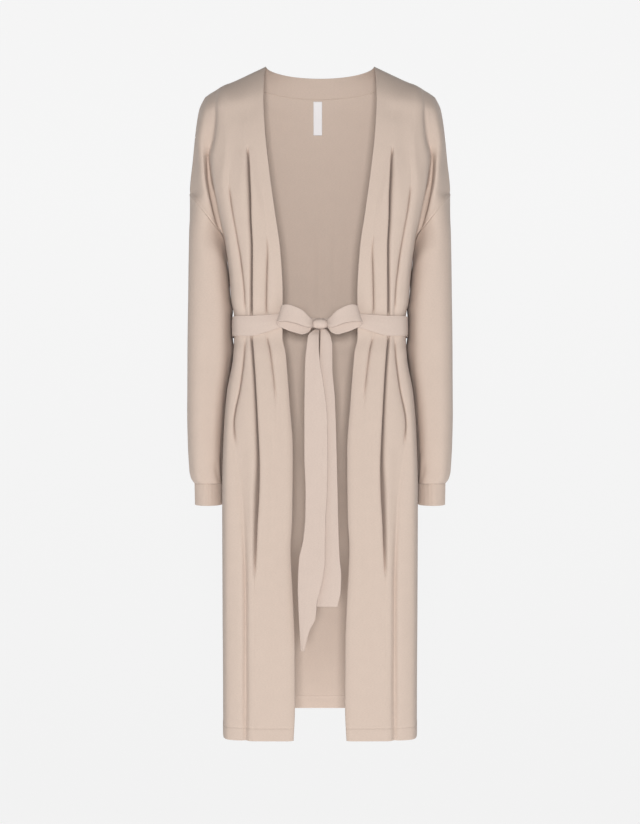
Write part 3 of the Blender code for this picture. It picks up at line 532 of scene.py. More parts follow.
def back_grid():
    """Middle surface of the back, from the wearer's right side to the left."""
    rows = []
    for level in BACK_LEVELS:
        side = [guide_back(table, level) for table in (OUTER, ARM_CREST, VALLEY, SIDE_LIP)]
        half = list(filled(side + [back_point(BACK_SEAM_HALF, level)], BACK_SIDE_STEPS))
        half += [back_point(across, level) for across in NECK_PLACES[1:]]
        half = np.array(half)
        mirrored = half.copy()
        mirrored[:, 0] *= -1
        row = np.concatenate((mirrored, half[-2::-1]))
        rows.append(gathered(row, level))
    return np.array(rows)


def armhole_loop():
    """Armhole seam from the top of the arm over the front to the underarm, then the back.

    Under the arm the sleeve turns straight down beside the body, so it stands a wall clear.
    """
    front = np.array([guide(OUTER, level) for level in ARMHOLE_LEVELS])
    back = np.array([guide_back(OUTER, level) for level in ARMHOLE_LEVELS])
    lapped = np.clip((LAP_FROM - np.array(ARMHOLE_LEVELS)) / (LAP_FROM - LAP_TO), 0, 1) * LAP
    front[:, 0] += lapped
    back[:, 0] += lapped
    return np.concatenate((front, back[-2:0:-1]))


def loop_turns(loop):
    """Share of a turn round the sleeve for each point of the armhole seam."""
    steps = np.linalg.norm(np.diff(np.concatenate((loop, loop[:1])), axis=0), axis=1)
    lengths = np.concatenate(([0.0], np.cumsum(steps)))
    under = len(ARMHOLE_LEVELS) - 1
    front = lengths[:under + 1] / lengths[under] / 2
    back = 0.5 + (lengths[under + 1:-1] - lengths[under]) / (lengths[-1] - lengths[under]) / 2
    return np.concatenate((front, back))


def sleeve_section(height, turn):
    """Point of the sleeve's section at a height; turn runs from the outside over the front."""
    inner, outer, half_depth, middle = through(SLEEVE, height)
    angle = 2 * math.pi * turn
    square = SLEEVE_SQUARE if math.cos(angle) > 0 else SLEEVE_SQUARE_INSIDE
    across = math.copysign(abs(math.cos(angle)) ** square, math.cos(angle))
    forward = math.copysign(abs(math.sin(angle)) ** square, math.sin(angle))
    return np.array([(inner + outer) / 2 + across * (outer - inner) / 2,
                     middle - forward * half_depth, height])


def sleeve_grid():
    """Middle surface of a sleeve: rings from the armhole seam down to the cuff."""
    loop = armhole_loop()
    turns = loop_turns(loop)
    even = np.arange(len(loop)) / len(loop)
    rings = []
    for step in SLEEVE_STEPS:
        ring = []
        for start, turn in zip(loop, turns):
            height = start[2] + (SLEEVE_LEVEL_TOP - start[2]) * step
            low = (start[2] - ARMHOLE_LEVELS[0]) / (UNDERARM - ARMHOLE_LEVELS[0])
            reach = SLEEVE_BLEND_TOP + (SLEEVE_BLEND_UNDER - SLEEVE_BLEND_TOP) * low
            blend = min((start[2] - height) / reach, 1.0)
            blend = blend * blend * (3 - 2 * blend)
            section = sleeve_section(height, turn)
            ring.append(between(np.array([start[0], start[1], height]), section, blend))
        rings.append(ring)
    for height in SLEEVE_LEVELS:
        share = min((SLEEVE_LEVEL_TOP - height) / SLEEVE_EVENED, 1.0)
        rings.append([sleeve_section(height, turn) for turn in turns + (even - turns) * share])
    return np.array(rings)


def neckband_grid():
    """Middle surface of the back neckband, from its seam with the back up to its edge."""
    columns = [-x for x in NECK_PLACES] + list(NECK_PLACES[-2::-1])
    rows = []
    for share in NECK_SHARES:
        row = []
        for across in columns:
            height, depth = back_top(across)
            lift = depth / BACK_SEAM_DEPTH
            seam = np.array([across, depth, height])
            edge = np.array([across / BACK_SEAM_HALF * NECK_HALF, NECK_DEPTH * lift,
                             -NECK_DROP * lift ** 1.3])
            point = between(seam, edge, share)
            point[2] += NECK_ROUND * lift * math.sin(math.pi * share)
            row.append(point)
        rows.append(row)
    return np.array(rows)


def unit(vectors):
    """Vectors of length one along the last axis."""
    return vectors / np.maximum(np.linalg.norm(vectors, axis=-1, keepdims=True), 1e-9)


def normals_of(grid, closed):
    """Unit normals of a grid of points."""
    down = np.gradient(grid, axis=0)
    if closed:
        along = (np.roll(grid, -1, axis=1) - np.roll(grid, 1, axis=1)) / 2
    else:
        along = np.gradient(grid, axis=1)
    return unit(np.cross(along, down))


def flat_at_seams(grid, normals):
    """Keep the normals of points that lie on the seam plane, y = 0, inside that plane."""
    normals = normals.copy()
    on_plane = np.abs(grid[..., 1]) < 0.01
    flat = normals[on_plane] * np.array([1.0, 0.0, 1.0])
    length = np.linalg.norm(flat, axis=1, keepdims=True)
    across = np.sign(grid[on_plane][:, :1])
    outward = np.concatenate((0.6 * across, 0 * across, 0.8 + 0 * across), axis=1)
    normals[on_plane] = np.where(length > 0.3, flat / np.maximum(length, 1e-9), outward)
    return normals


def sideways(normal):
    """A normal turned into the plane of the side seams."""
    return unit(normal * np.array([1.0, 0.0, 1.0]))


def shared(first, second):
    """One set of unit normals for the two borders that meet at a seam."""
    return unit(first + second)


def finer(rows, step):
    """The rows with even ones between them, no further apart than the step."""
    out = [rows[0]]
    for above, below in zip(rows, rows[1:]):
        count = max(1, math.ceil(abs(above - below) / step))
        out += [above + (below - above) * k / count for k in range(1, count + 1)]
    return tuple(out)


FRONT_LEVELS = finer(FRONT_ROWS + tuple(FRONT_HEM + up for up in HEM_ROWS), ROW_STEP)
BACK_LEVELS = finer(BACK_ROWS + tuple(BACK_HEM + up for up in HEM_ROWS), ROW_STEP)
ARMHOLE_LEVELS = finer(ARMHOLE_ROWS, ROW_STEP)


def creases(across, down, marks):
    """Height of the listed ridges and troughs at each point."""
    total = np.zeros_like(across)
    for start_x, start_z, end_x, end_z, width, height, bow in marks:
        step_x, step_z = end_x - start_x, end_z - start_z
        length = math.hypot(step_x, step_z)
        along = ((across - start_x) * step_x + (down - start_z) * step_z) / length ** 2
        aside = ((down - start_z) * step_x - (across - start_x) * step_z) / length
        along = np.clip(along, 0.0, 1.0)
        aside = aside - bow * 4 * along * (1 - along)
        fade = np.sin(np.pi * along) ** 0.8
        total += height * fade * np.exp(-(aside / width) ** 2)
    return total


def run(grid, axis):
    """Distance along the rows or columns of a grid from its first border."""
    steps = np.linalg.norm(np.diff(grid, axis=axis), axis=-1)
    start = np.zeros_like(np.take(steps, [0], axis=axis))
    return np.concatenate((start, np.cumsum(steps, axis=axis)), axis=axis)


def from_borders(grid):
    """Distances of each point from the top, bottom, first and last borders."""
    down, along = run(grid, 0), run(grid, 1)
    return down, down[-1:] - down, along, along[:, -1:] - along


def line(distance, at, width):
    """A soft line across a distance, 1 at its middle."""
    return np.exp(-((distance - at) / width) ** 2)


def hemmed(bottom):
    """Relief of a turned hem: a little thicker, with a row of stitches along its top."""
    swell = HEM_SWELL / (1 + np.exp(np.minimum((bottom - HEM_DEPTH) / 0.8, 50.0)))
    return swell - STITCH_DEPTH * line(bottom, HEM_DEPTH, STITCH_WIDTH)


def seam(distance):
    """Relief of a seam: a groove at the border and a soft ridge beside it."""
    return (RIDGE_HEIGHT * line(distance, RIDGE_AT, RIDGE_WIDTH)
            - SEAM_DEPTH * line(distance, 0.0, SEAM_WIDTH))


def rolled(first, height):
    """How far the open edge rolls back, by the distance from it and the height."""
    reach = np.clip((height - EDGE_ROLL_TOP) / (EDGE_ROLL_FULL - EDGE_ROLL_TOP), 0.0, 1.0)
    return EDGE_ROLL * reach * np.clip(1 - first / EDGE_ROLL_WIDTH, 0.0, 1.0) ** 2


def cloth_places(grid, closed):
    """Places of a grid's points on its cloth, in metres: along the rows and down."""
    if closed:
        grid = np.concatenate((grid, grid[:, :1]), axis=1)
    middle = grid.shape[1] // 2
    along = run(grid, 1)
    along = along - along[:, middle:middle + 1]
    down = np.broadcast_to(run(grid, 0)[:, middle:middle + 1], along.shape)
    return np.stack((along, -down), axis=-1) * MM


def border_of(rows, columns, closed):
    """Runs round the open borders of a grid, as arrays of rows and unwrapped columns."""
    if closed:
        across = np.arange(columns + 1)
        return [(np.zeros_like(across), across),
                (np.full_like(across, rows - 1), across[::-1])]
    right = np.arange(columns)
    down = np.arange(1, rows)
    r = np.concatenate((0 * right, down, 0 * right[1:] + rows - 1, down[::-1][1:], [0]))
    c = np.concatenate((right, 0 * down + columns - 1, right[::-1][1:], 0 * down[1:], [0]))
    return [(r, c)]


def add_mesh(name, vertices, faces, places, material):
    """A smooth mesh object with its places on the cloth kept as a UV map."""
    mesh = bpy.data.meshes.new(name)
    mesh.from_pydata(vertices.tolist(), [], faces.tolist())
    layer = mesh.uv_layers.new(name="cloth")
    layer.data.foreach_set("uv", places.astype(np.float32).ravel())
    mesh.shade_smooth()
    mesh.materials.append(material)
    piece = bpy.data.objects.new(name, mesh)
    bpy.context.scene.collection.objects.link(piece)
    return piece


def add_shell(name, grid, normals, material, thickness=WALL, closed=False, raised=None,
              mirror=False):
    """A thin cloth shell on a grid, with softly rounded borders."""
    rows, columns = grid.shape[:2]
    wide = columns + (1 if closed else 0)
    places = cloth_places(grid, closed).reshape(-1, 2)
    outer = grid + normals * (thickness / 2)
    inner = grid - normals * (thickness / 2)
    if raised is not None:
        outer = outer + normals * raised[..., None]
    r, c = np.meshgrid(np.arange(rows - 1), np.arange(wide - 1), indexing="ij")
    corners = ((r, c), (r, c + 1), (r + 1, c + 1), (r + 1, c))
    quads = np.stack([a * columns + b % columns for a, b in corners], axis=-1).reshape(-1, 4)
    spots = np.stack([a * wide + b for a, b in corners], axis=-1).reshape(-1, 4)
    count = rows * columns
    vertices = [outer.reshape(-1, 3), inner.reshape(-1, 3)]
    faces = [quads, quads[:, ::-1] + count]
    face_places = [spots, spots[:, ::-1]]
    total = 2 * count
    for r, c in border_of(rows, columns, closed):
        at = r * columns + c % columns
        spot = r * wide + c
        within_r = np.clip(r, 1, rows - 2)
        within_c = c % columns if closed else np.clip(c, 1, columns - 2)
        edge = grid[r, c % columns]
        out = unit(edge - grid[within_r, within_c]) * RIM
        middle = (outer[r, c % columns] + inner[r, c % columns]) / 2 + out
        vertices.append(middle[:-1])
        length = len(at) - 1
        rim = total + np.arange(length + 1) % length
        a, b = at[:-1], at[1:]
        first, last = rim[:-1], rim[1:]
        faces.append(np.stack((b, a, first, last), axis=-1))
        faces.append(np.stack((last, first, a + count, b + count), axis=-1))
        pair = np.stack((spot[1:], spot[:-1], spot[:-1], spot[1:]), axis=-1)
        face_places += [pair, pair]
        total += length
    vertices = np.concatenate(vertices) * MM
    faces = np.concatenate(faces)
    face_places = np.concatenate(face_places)
    if mirror:
        vertices = vertices * MIRROR
    a, b, c, d = (vertices[faces[:, k]] for k in range(4))
    volume = np.sum(a * np.cross(b, c)) + np.sum(a * np.cross(c, d))
    if volume < 0:
        faces = faces[:, ::-1]
        face_places = face_places[:, ::-1]
    return add_mesh(name, vertices, faces, places[face_places.ravel()], material)


def worn(piece, node):
    """Put a piece of cloth in the place of its solid: hide the solid and hang the piece on the root
    body.
    """
    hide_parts(node)
    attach(piece, "root")


def add_pair(stem, grid, normals, material, slot, **options):
    """A piece for the wearer's left and its mirror image for the right."""
    for side, mirror in (("left", False), ("right", True)):
        name = stem + "_" + side
        piece = add_shell("cloth_" + name, grid, normals, material, mirror=mirror, **options)
        worn(piece, name)


def body_grids():
    """The four large grids with their outward normals, joined along the seams."""
    front, back = front_grid(), back_grid()
    neck, sleeve = neckband_grid(), sleeve_grid()
    front_out = flat_at_seams(front, normals_of(front, False)) * FRONT_TURN
    back_out = flat_at_seams(back, normals_of(back, False)) * BACK_TURN
    neck_out = flat_at_seams(neck, normals_of(neck, False)) * NECK_TURN
    sleeve_out = normals_of(sleeve, True) * SLEEVE_TURN
    sewn = [level for level in ARMHOLE_LEVELS if level >= LAP_FROM]
    on_front = [FRONT_LEVELS.index(level) for level in sewn]
    on_back = [BACK_LEVELS.index(level) for level in sewn[1:]]
    joined = shared(front_out[on_front, -1], sleeve_out[0, :len(sewn)])
    joined[0] = sideways(joined[0])
    front_out[on_front, -1] = joined
    sleeve_out[0, :len(sewn)] = joined
    back_out[BACK_LEVELS.index(sewn[0]), -1] = joined[0]
    back_out[BACK_LEVELS.index(sewn[0]), 0] = joined[0] * MIRROR
    joined = shared(back_out[on_back, -1], sleeve_out[0, :-len(sewn):-1])
    back_out[on_back, -1] = joined
    back_out[on_back, 0] = joined * MIRROR
    sleeve_out[0, :-len(sewn):-1] = joined
    sleeve_out[-1] = unit(sleeve_out[-1] * np.array([1.0, 1.0, 0.0]))
    start = sum(len(steps) for steps in BACK_SIDE_STEPS)
    joined = shared(back_out[0, start:start + neck.shape[1]], neck_out[0])
    back_out[0, start:start + neck.shape[1]] = joined
    neck_out[0] = joined
    return (front, front_out), (back, back_out), (neck, neck_out), (sleeve, sleeve_out)


def armhole_seam(grid):
    """Share of the armhole seam's relief on each row of a body panel."""
    level = grid[:, -1:, 2]
    return ((level < ARMHOLE_ROWS[0] + 2) & (level > UNDERARM)).astype(float)


def add_body(knit):
    """Fronts, bands, back, neckband and sleeves."""
    (front, front_out), (back, back_out), (neck, neck_out), (sleeve, sleeve_out) = body_grids()
    split = sum(len(steps) for steps in BAND_STEPS)
    band, band_out = front[:, :split + 1], front_out[:, :split + 1]
    panel, panel_out = front[:, split:], front_out[:, split:]

    top, bottom, first, last = from_borders(band)
    relief = creases(band[..., 0], band[..., 2], BAND_MARKS) + hemmed(bottom)
    relief -= rolled(first, band[..., 2])
    add_pair("front_band", band + band_out * relief[..., None], band_out, knit, "knit")

    top, bottom, first, last = from_borders(panel)
    relief = creases(panel[..., 0], panel[..., 2], PANEL_MARKS) + hemmed(bottom)
    relief += armhole_seam(panel) * seam(last)
    add_pair("front", panel + panel_out * relief[..., None], panel_out, knit, "knit")

    top, bottom, first, last = from_borders(back)
    relief = creases(back[..., 0], back[..., 2], BACK_MARKS) + hemmed(bottom)
    relief += armhole_seam(back) * (seam(last) + seam(first))
    inside = np.abs(back[..., 0]) < BACK_SEAM_HALF
    relief -= inside * seam(top)
    piece = add_shell("cloth_back", back + back_out * relief[..., None], back_out, knit)
    worn(piece, "back")

    piece = add_shell("cloth_neckband", neck, neck_out, knit)
    worn(piece, "neckband")

    top = run(sleeve, 0)
    around = run(np.concatenate((sleeve, sleeve[:, :1]), axis=1), 1)[:, :-1]
    relief = creases(around, sleeve[..., 2], SLEEVE_MARKS) + seam(top)
    add_pair("sleeve", sleeve + sleeve_out * relief[..., None], sleeve_out, knit, "knit",
             closed=True)


def add_cuffs(knit):
    """Ribbed cuffs, plain inside."""
    count = CUFF_RIBS * 6
    angle = 2 * math.pi * np.arange(count) / count
    rings = []
    for share in np.linspace(0.0, 1.0, 15):
        height, inner, outer, half_depth, middle = between(np.array(CUFF[0]), np.array(CUFF[1]),
                                                           share)
        rings.append(np.stack(((inner + outer) / 2 + np.cos(angle) * (outer - inner) / 2,
                               middle - np.sin(angle) * half_depth,
                               np.full(count, height)), axis=1))
    cuff = np.array(rings)
    ribs = np.clip(0.5 + 0.75 * np.cos(angle * CUFF_RIBS), 0.0, 1.0) * CUFF_RIB_HEIGHT
    raised = np.broadcast_to(ribs, cuff.shape[:2])
    out = normals_of(cuff, True) * SLEEVE_TURN
    add_pair("cuff", cuff, out, knit, "rib", closed=True, raised=raised)


# Belt
BELT_SHARES = (1.0, 0.97, 0.92, 0.84, 0.72, 0.58, 0.42, 0.26, 0.1, -0.06, -0.22, -0.38, -0.54,
               -0.68, -0.8, -0.9, -0.96, -1.0)
# Creases along the belt: from and to (across, share of the half width), width, height
BELT_MARKS = (
    (-118, 0.30, -62, 0.05, 0.16, 0.5), (-96, -0.35, -44, -0.30, 0.18, 0.5),
    (118, 0.24, 66, 0.10, 0.16, 0.5), (100, -0.30, 46, -0.36, 0.18, 0.55),
    (-74, 0.55, -40, 0.30, 0.14, -0.4), (78, 0.5, 42, 0.34, 0.14, -0.4),
)


def waist_ring():
    """The waist's section as a closed ring of points, anticlockwise seen from above."""
    tables = (OPEN_EDGE, BAND_SEAM, SIDE_LIP, VALLEY, ARM_CREST, OUTER)
    front = [guide(table, BELT_Z) for table in tables]
    front.insert(3, bank_of(front[2], front[3]))
    back = [guide_back(table, BELT_Z) for table in (ARM_CREST, VALLEY, SIDE_LIP, BAND_SEAM)]
    knot = np.array([0.0, front[0][1] - 3.0, BELT_Z])
    middle = [back_point(across, BELT_Z) for across in (72, 36, 0)]
    left = filled([knot, *front, *back, *middle], WAIST_STEPS)
    right = left[-2:0:-1].copy()
    right[:, 0] *= -1
    return np.concatenate((left, right))


def belt_grid():
    """Middle surface of the belt, lying on the waist."""
    ring = waist_ring()
    along = unit(np.roll(ring, -1, axis=0) - np.roll(ring, 1, axis=0))
    outward = np.stack((along[:, 1], -along[:, 0], 0 * along[:, 0]), axis=1)
    path = ring + outward * (WALL / 2 + BELT_CLEAR + BELT_WALL / 2)
    front = path[:, 1] < 0
    middle, half = np.split(through(BELT_FRONT, np.abs(path[:, 0])), 2, axis=1)
    middle = np.where(front[:, None], middle, BELT_Z)[:, 0]
    half = np.where(front[:, None], half, BELT_FRONT[-1][2])[:, 0]
    rows = []
    for share in BELT_SHARES:
        row = path.copy()
        row[:, 2] = middle + half * share
        rows.append(row)
    return np.array(rows), outward


def add_belt(knit):
    """The belt round the waist."""
    grid, outward = belt_grid()
    out = np.broadcast_to(outward, grid.shape)
    share = np.broadcast_to(np.array(BELT_SHARES)[:, None], grid.shape[:2])
    relief = np.zeros(grid.shape[:2])
    for start_x, start_s, end_x, end_s, width, height in BELT_MARKS:
        along = np.clip((grid[..., 0] - start_x) / (end_x - start_x), 0.0, 1.0)
        aside = share - (start_s + (end_s - start_s) * along)
        fade = np.sin(np.pi * along) ** 0.8
        relief += height * fade * np.exp(-(aside / width) ** 2) * (grid[..., 1] < 0)
    relief += 0.35 * (1 - share ** 2)
    relief -= 0.4 * line(np.abs(share), 0.9, 0.05)
    piece = add_shell("cloth_belt", grid + out * relief[..., None], out, knit,
                      thickness=BELT_WALL, closed=True)
    worn(piece, "belt")


LOOP_SHARES = (1.0, 0.97, 0.9, 0.8, 0.66, 0.5, 0.33, 0.16, 0.0, -0.16, -0.33, -0.5, -0.66, -0.8,
               -0.9, -0.97, -1.0)
LOOP_STATIONS = 121
# Gathers of a loop by the knot: share of the half width, width, depth
LOOP_GATHERS = ((0.72, 0.13, -1.5), (0.38, 0.11, -2.0), (0.02, 0.13, -1.7), (-0.36, 0.12, -2.1),
                (-0.7, 0.12, -1.4))
GATHER_REACH = 18.0


def loop_grid(stretch):
    """Middle surface of a bow loop: a strip that leaves the knot and comes back behind."""
    places = np.linspace(0, LOOP[-1][0], LOOP_STATIONS)
    across, forward, middle, half, lean = through(LOOP, places).T
    rows = []
    for share in LOOP_SHARES:
        rows.append(np.stack(((across - KNOT_HALF[0]) * stretch + KNOT_HALF[0] + lean * share,
                              -forward, middle + half * share), axis=1))
    return np.array(rows)


def add_loop(name, stretch, knit, mirror):
    """One loop of the bow, gathered where it leaves the knot."""
    grid = loop_grid(stretch)
    out = normals_of(grid, False)
    share = np.broadcast_to(np.array(LOOP_SHARES)[:, None], grid.shape[:2])
    near = np.exp(-np.abs(grid[..., 0] - KNOT_HALF[0]) / GATHER_REACH)
    relief = 0.4 * (1 - share ** 2)
    for at, width, depth in LOOP_GATHERS:
        relief = relief + depth * near * np.exp(-((share - at) / width) ** 2)
    piece = add_shell("cloth_" + name, grid + out * relief[..., None], out, knit,
                      thickness=TAIL_WALL, mirror=mirror)
    worn(piece, name)


TAIL_SHARES = (0.0, 0.02, 0.06, 0.12, 0.2, 0.3, 0.4, 0.5, 0.6, 0.7, 0.8, 0.88, 0.94, 0.98, 1.0)
# Creases down a hanging end: share of the width at the start and end, heights, width, height
TAIL_RIGHT_MARKS = (
    (0.42, 0.5, -442, -520, 0.10, -1.0), (0.7, 0.66, -442, -500, 0.08, -0.8),
    (0.3, 0.28, -500, -700, 0.16, 0.5), (0.62, 0.55, -560, -820, 0.18, -0.5),
    (0.8, 0.84, -740, -900, 0.10, 0.6),
)
TAIL_LEFT_MARKS = (
    (0.5, 0.56, -442, -520, 0.12, -0.8), (0.72, 0.7, -600, -800, 0.16, 0.5),
    (0.4, 0.44, -700, -860, 0.16, -0.5),
)


def tail_grid(table, curl):
    """Middle surface of a hanging belt end, bowed a little across its width."""
    ends = tuple(row[0] for row in table)
    heights = np.array(finer(ends, ROW_STEP / 2))
    first, last, first_y, last_y = through(table, heights).T
    rows = []
    for share in TAIL_SHARES:
        bow = curl * math.sin(math.pi * share)
        rows.append(np.stack((first + (last - first) * share,
                              -(first_y + (last_y - first_y) * share) + bow, heights), axis=1))
    return np.array(rows).transpose(1, 0, 2)


def add_tail(name, table, curl, marks, knit):
    """One hanging end of the belt."""
    grid = tail_grid(table, curl)
    out = normals_of(grid, False)
    if out[..., 1].mean() > 0:
        out = -out
    share = np.broadcast_to(np.array(TAIL_SHARES), grid.shape[:2])
    relief = np.zeros(grid.shape[:2])
    for start, end, top, bottom, width, height in marks:
        down = np.clip((grid[..., 2] - top) / (bottom - top), 0.0, 1.0)
        aside = share - (start + (end - start) * down)
        relief += height * np.sin(np.pi * down) ** 0.8 * np.exp(-(aside / width) ** 2)
    relief -= 0.35 * (line(share, 0.07, 0.03) + line(share, 0.93, 0.03))
    piece = add_shell("cloth_" + name, grid + out * relief[..., None], out, knit,
                      thickness=TAIL_WALL)
    worn(piece, name)


# Folds of the knot: turn round it at the top and bottom, width and depth
KNOT_FOLDS = ((-0.62, -0.30, 0.16, 0.9), (-0.20, 0.02, 0.12, 0.7), (0.34, 0.30, 0.15, 1.0),
              (0.78, 0.62, 0.16, 0.8))


def add_knot(knit):
    """The knot: a soft squared lump of cloth with folds across its front."""
    rings, segments, square = 48, 72, 0.8
    lift = math.pi * np.arange(rings + 1) / rings
    turn = 2 * math.pi * np.arange(segments + 1) / segments
    lift, turn = np.meshgrid(lift, turn, indexing="ij")
    ball = np.stack((np.sin(lift) * np.cos(turn), np.sin(lift) * np.sin(turn), np.cos(lift)),
                    axis=-1)
    soft = np.sign(ball) * np.abs(ball) ** square
    facing = np.clip(-ball[..., 1], 0.0, 1.0) ** 0.5
    sink = np.zeros_like(lift)
    for top, bottom, width, depth in KNOT_FOLDS:
        at = top + (bottom - top) * (1 - ball[..., 2]) / 2
        sink += depth * facing * np.exp(-((ball[..., 0] - at) / width) ** 2)
    size = np.array(KNOT_HALF)
    points = np.array(KNOT_AT) + soft * (size - sink[..., None])
    places = np.stack((turn * size[0], lift * size[2]), axis=-1).reshape(-1, 2) * MM
    r, c = np.meshgrid(np.arange(rings), np.arange(segments), indexing="ij")
    corners = ((r, c), (r + 1, c), (r + 1, c + 1), (r, c + 1))
    spots = np.stack([a * (segments + 1) + b for a, b in corners], axis=-1).reshape(-1, 4)
    faces, face_places = [], []
    for r in range(rings):
        for spot in spots[r * segments:(r + 1) * segments]:
            corner = [knot_vertex(s, rings, segments) for s in spot]
            kept = [k for k in range(4) if corner[k] != corner[k - 1]]
            faces.append([corner[k] for k in kept])
            face_places += [spot[k] for k in kept]
    vertices = [points[0, 0]] + list(points[1:rings, :segments].reshape(-1, 3)) + [points[-1, 0]]
    mesh = bpy.data.meshes.new("cloth_belt_knot")
    mesh.from_pydata([tuple(v * MM) for v in vertices], [], faces)
    layer = mesh.uv_layers.new(name="cloth")
    layer.data.foreach_set("uv", places[face_places].astype(np.float32).ravel())
    mesh.shade_smooth()
    mesh.materials.append(knit)
    piece = bpy.data.objects.new("cloth_belt_knot", mesh)
    bpy.context.scene.collection.objects.link(piece)
    worn(piece, "belt_knot")


def knot_vertex(spot, rings, segments):
    """Vertex of the knot for a point of its grid, with one vertex at each pole."""
    ring, place = divmod(int(spot), segments + 1)
    if ring == 0:
        return 0
    if ring == rings:
        return 1 + (rings - 1) * segments
    return 1 + (ring - 1) * segments + place % segments


def add_label(tape):
    """A bare woven label hanging inside the back of the neck, sewn along its top."""
    rows = []
    for height in np.linspace(LABEL_TOP, LABEL_BOTTOM, 34):
        row = []
        for across in np.linspace(*LABEL_ACROSS, 12):
            top = back_top(across)[0]
            level = (height - top) / (LEVEL_FROM - top) * LEVEL_FROM
            depth = back_point(across, level)[1] - WALL / 2 - LABEL_CLEAR - LABEL_WALL / 2
            row.append((across, depth, height))
        rows.append(row)
    grid = np.array(rows)
    out = normals_of(grid, False)
    if out[..., 1].mean() > 0:
        out = -out
    piece = add_shell("cloth_neck_label", grid, out, tape, thickness=LABEL_WALL)
    worn(piece, "neck_label")


def add_node(tree, kind, **settings):
    """A shader node with its settings."""
    node = tree.nodes.new(kind)
    for key, value in settings.items():
        setattr(node, key, value)
    return node


def maths(tree, operation, *values):
    """A math node fed with sockets or numbers; gives its output."""
    node = add_node(tree, "ShaderNodeMath", operation=operation)
    for socket, value in zip(node.inputs, values):
        if isinstance(value, (int, float)):
            socket.default_value = value
        else:
            tree.links.new(value, socket)
    return node.outputs[0]


def mixed(tree, share, first, second):
    """A colour between two, by a share; a share or colour may be a socket or plain."""
    node = add_node(tree, "ShaderNodeMix", data_type="RGBA")
    if isinstance(share, float):
        node.inputs["Factor"].default_value = share
    else:
        tree.links.new(share, node.inputs["Factor"])
    for socket, value in ((node.inputs[6], first), (node.inputs[7], second)):
        if isinstance(value, tuple):
            socket.default_value = (*value, 1.0)
        else:
            tree.links.new(value, socket)
    return node.outputs[2]


def scaled(colour, amount):
    """A colour made lighter or darker."""
    return tuple(part * amount for part in colour)


def cloth_noise(tree, place, across, down, detail):
    """Noise on the cloth with the given cell sizes in millimetres."""
    stretch = add_node(tree, "ShaderNodeVectorMath", operation="MULTIPLY")
    stretch.inputs[1].default_value = (1 / (across * MM), 1 / (down * MM), 1.0)
    tree.links.new(place, stretch.inputs[0])
    noise = add_node(tree, "ShaderNodeTexNoise", noise_dimensions="2D")
    noise.inputs["Scale"].default_value = 1.0
    noise.inputs["Detail"].default_value = detail
    tree.links.new(stretch.outputs[0], noise.inputs["Vector"])
    return noise.outputs["Fac"]


def stitches(tree, place):
    """Height of the knit's stitches, from 0 to 1: columns of small V shapes."""
    parts = add_node(tree, "ShaderNodeSeparateXYZ")
    tree.links.new(place, parts.inputs[0])
    wale = maths(tree, "DIVIDE", parts.outputs[0], WALE * MM)
    course = maths(tree, "DIVIDE", parts.outputs[1], COURSE * MM)
    offset = maths(tree, "SUBTRACT", maths(tree, "FRACT", wale), 0.5)
    aside = maths(tree, "MULTIPLY", maths(tree, "ABSOLUTE", offset), 2.0)
    phase = maths(tree, "ADD", course, maths(tree, "MULTIPLY", aside, 0.55))
    wave = maths(tree, "COSINE", maths(tree, "MULTIPLY", phase, 2 * math.pi))
    loop = maths(tree, "MULTIPLY_ADD", wave, 0.22, 0.78)
    column = maths(tree, "SUBTRACT", 1.0, maths(tree, "POWER", aside, 4.0))
    middle = maths(tree, "SUBTRACT", 1.0, maths(tree, "POWER", aside, 0.6))
    body = maths(tree, "SUBTRACT", column, maths(tree, "MULTIPLY", middle, 0.35))
    return maths(tree, "MULTIPLY", loop, body)


def new_knit(name, colour, strength):
    """Fine matt knit: small stitches, mixed fibres, a soft sheen and painted shade between
    stitches.
    """
    material = bpy.data.materials.new(name)
    material.use_nodes = True
    tree = material.node_tree
    shader = tree.nodes["Principled BSDF"]
    shader.inputs["Roughness"].default_value = 0.92
    shader.inputs["Sheen Weight"].default_value = 0.12
    shader.inputs["Sheen Roughness"].default_value = 0.45
    shader.inputs["Specular IOR Level"].default_value = 0.25
    place = add_node(tree, "ShaderNodeUVMap", uv_map="cloth").outputs["UV"]
    fibre = cloth_noise(tree, place, 3.2, 0.9, 2.0)
    cloud = cloth_noise(tree, place, 26.0, 18.0, 3.0)
    height = stitches(tree, place)
    spread = add_node(tree, "ShaderNodeMapRange")
    for key, value in (("From Min", 0.3), ("From Max", 0.7)):
        spread.inputs[key].default_value = value
    tree.links.new(fibre, spread.inputs["Value"])
    base = mixed(tree, spread.outputs["Result"], scaled(colour, 0.93), scaled(colour, 1.05))
    shade = mixed(tree, cloud, scaled(colour, 0.96), scaled(colour, 1.04))
    both = mixed(tree, 0.5, base, shade)
    # Painted shade and light: the colour is darker in the hollows between the stitches and lighter
    # on their tops
    painted_stitch_shade = maths(tree, "MULTIPLY_ADD", height, 0.16, 0.9)
    painted_shade_scale = add_node(tree, "ShaderNodeVectorMath", operation="SCALE")
    tree.links.new(both, painted_shade_scale.inputs[0])
    tree.links.new(painted_stitch_shade, painted_shade_scale.inputs["Scale"])
    tree.links.new(painted_shade_scale.outputs[0], shader.inputs["Base Color"])
    bump = add_node(tree, "ShaderNodeBump")
    bump.inputs["Strength"].default_value = strength
    bump.inputs["Distance"].default_value = 0.0003
    tree.links.new(height, bump.inputs["Height"])
    tree.links.new(bump.outputs["Normal"], shader.inputs["Normal"])
    return material


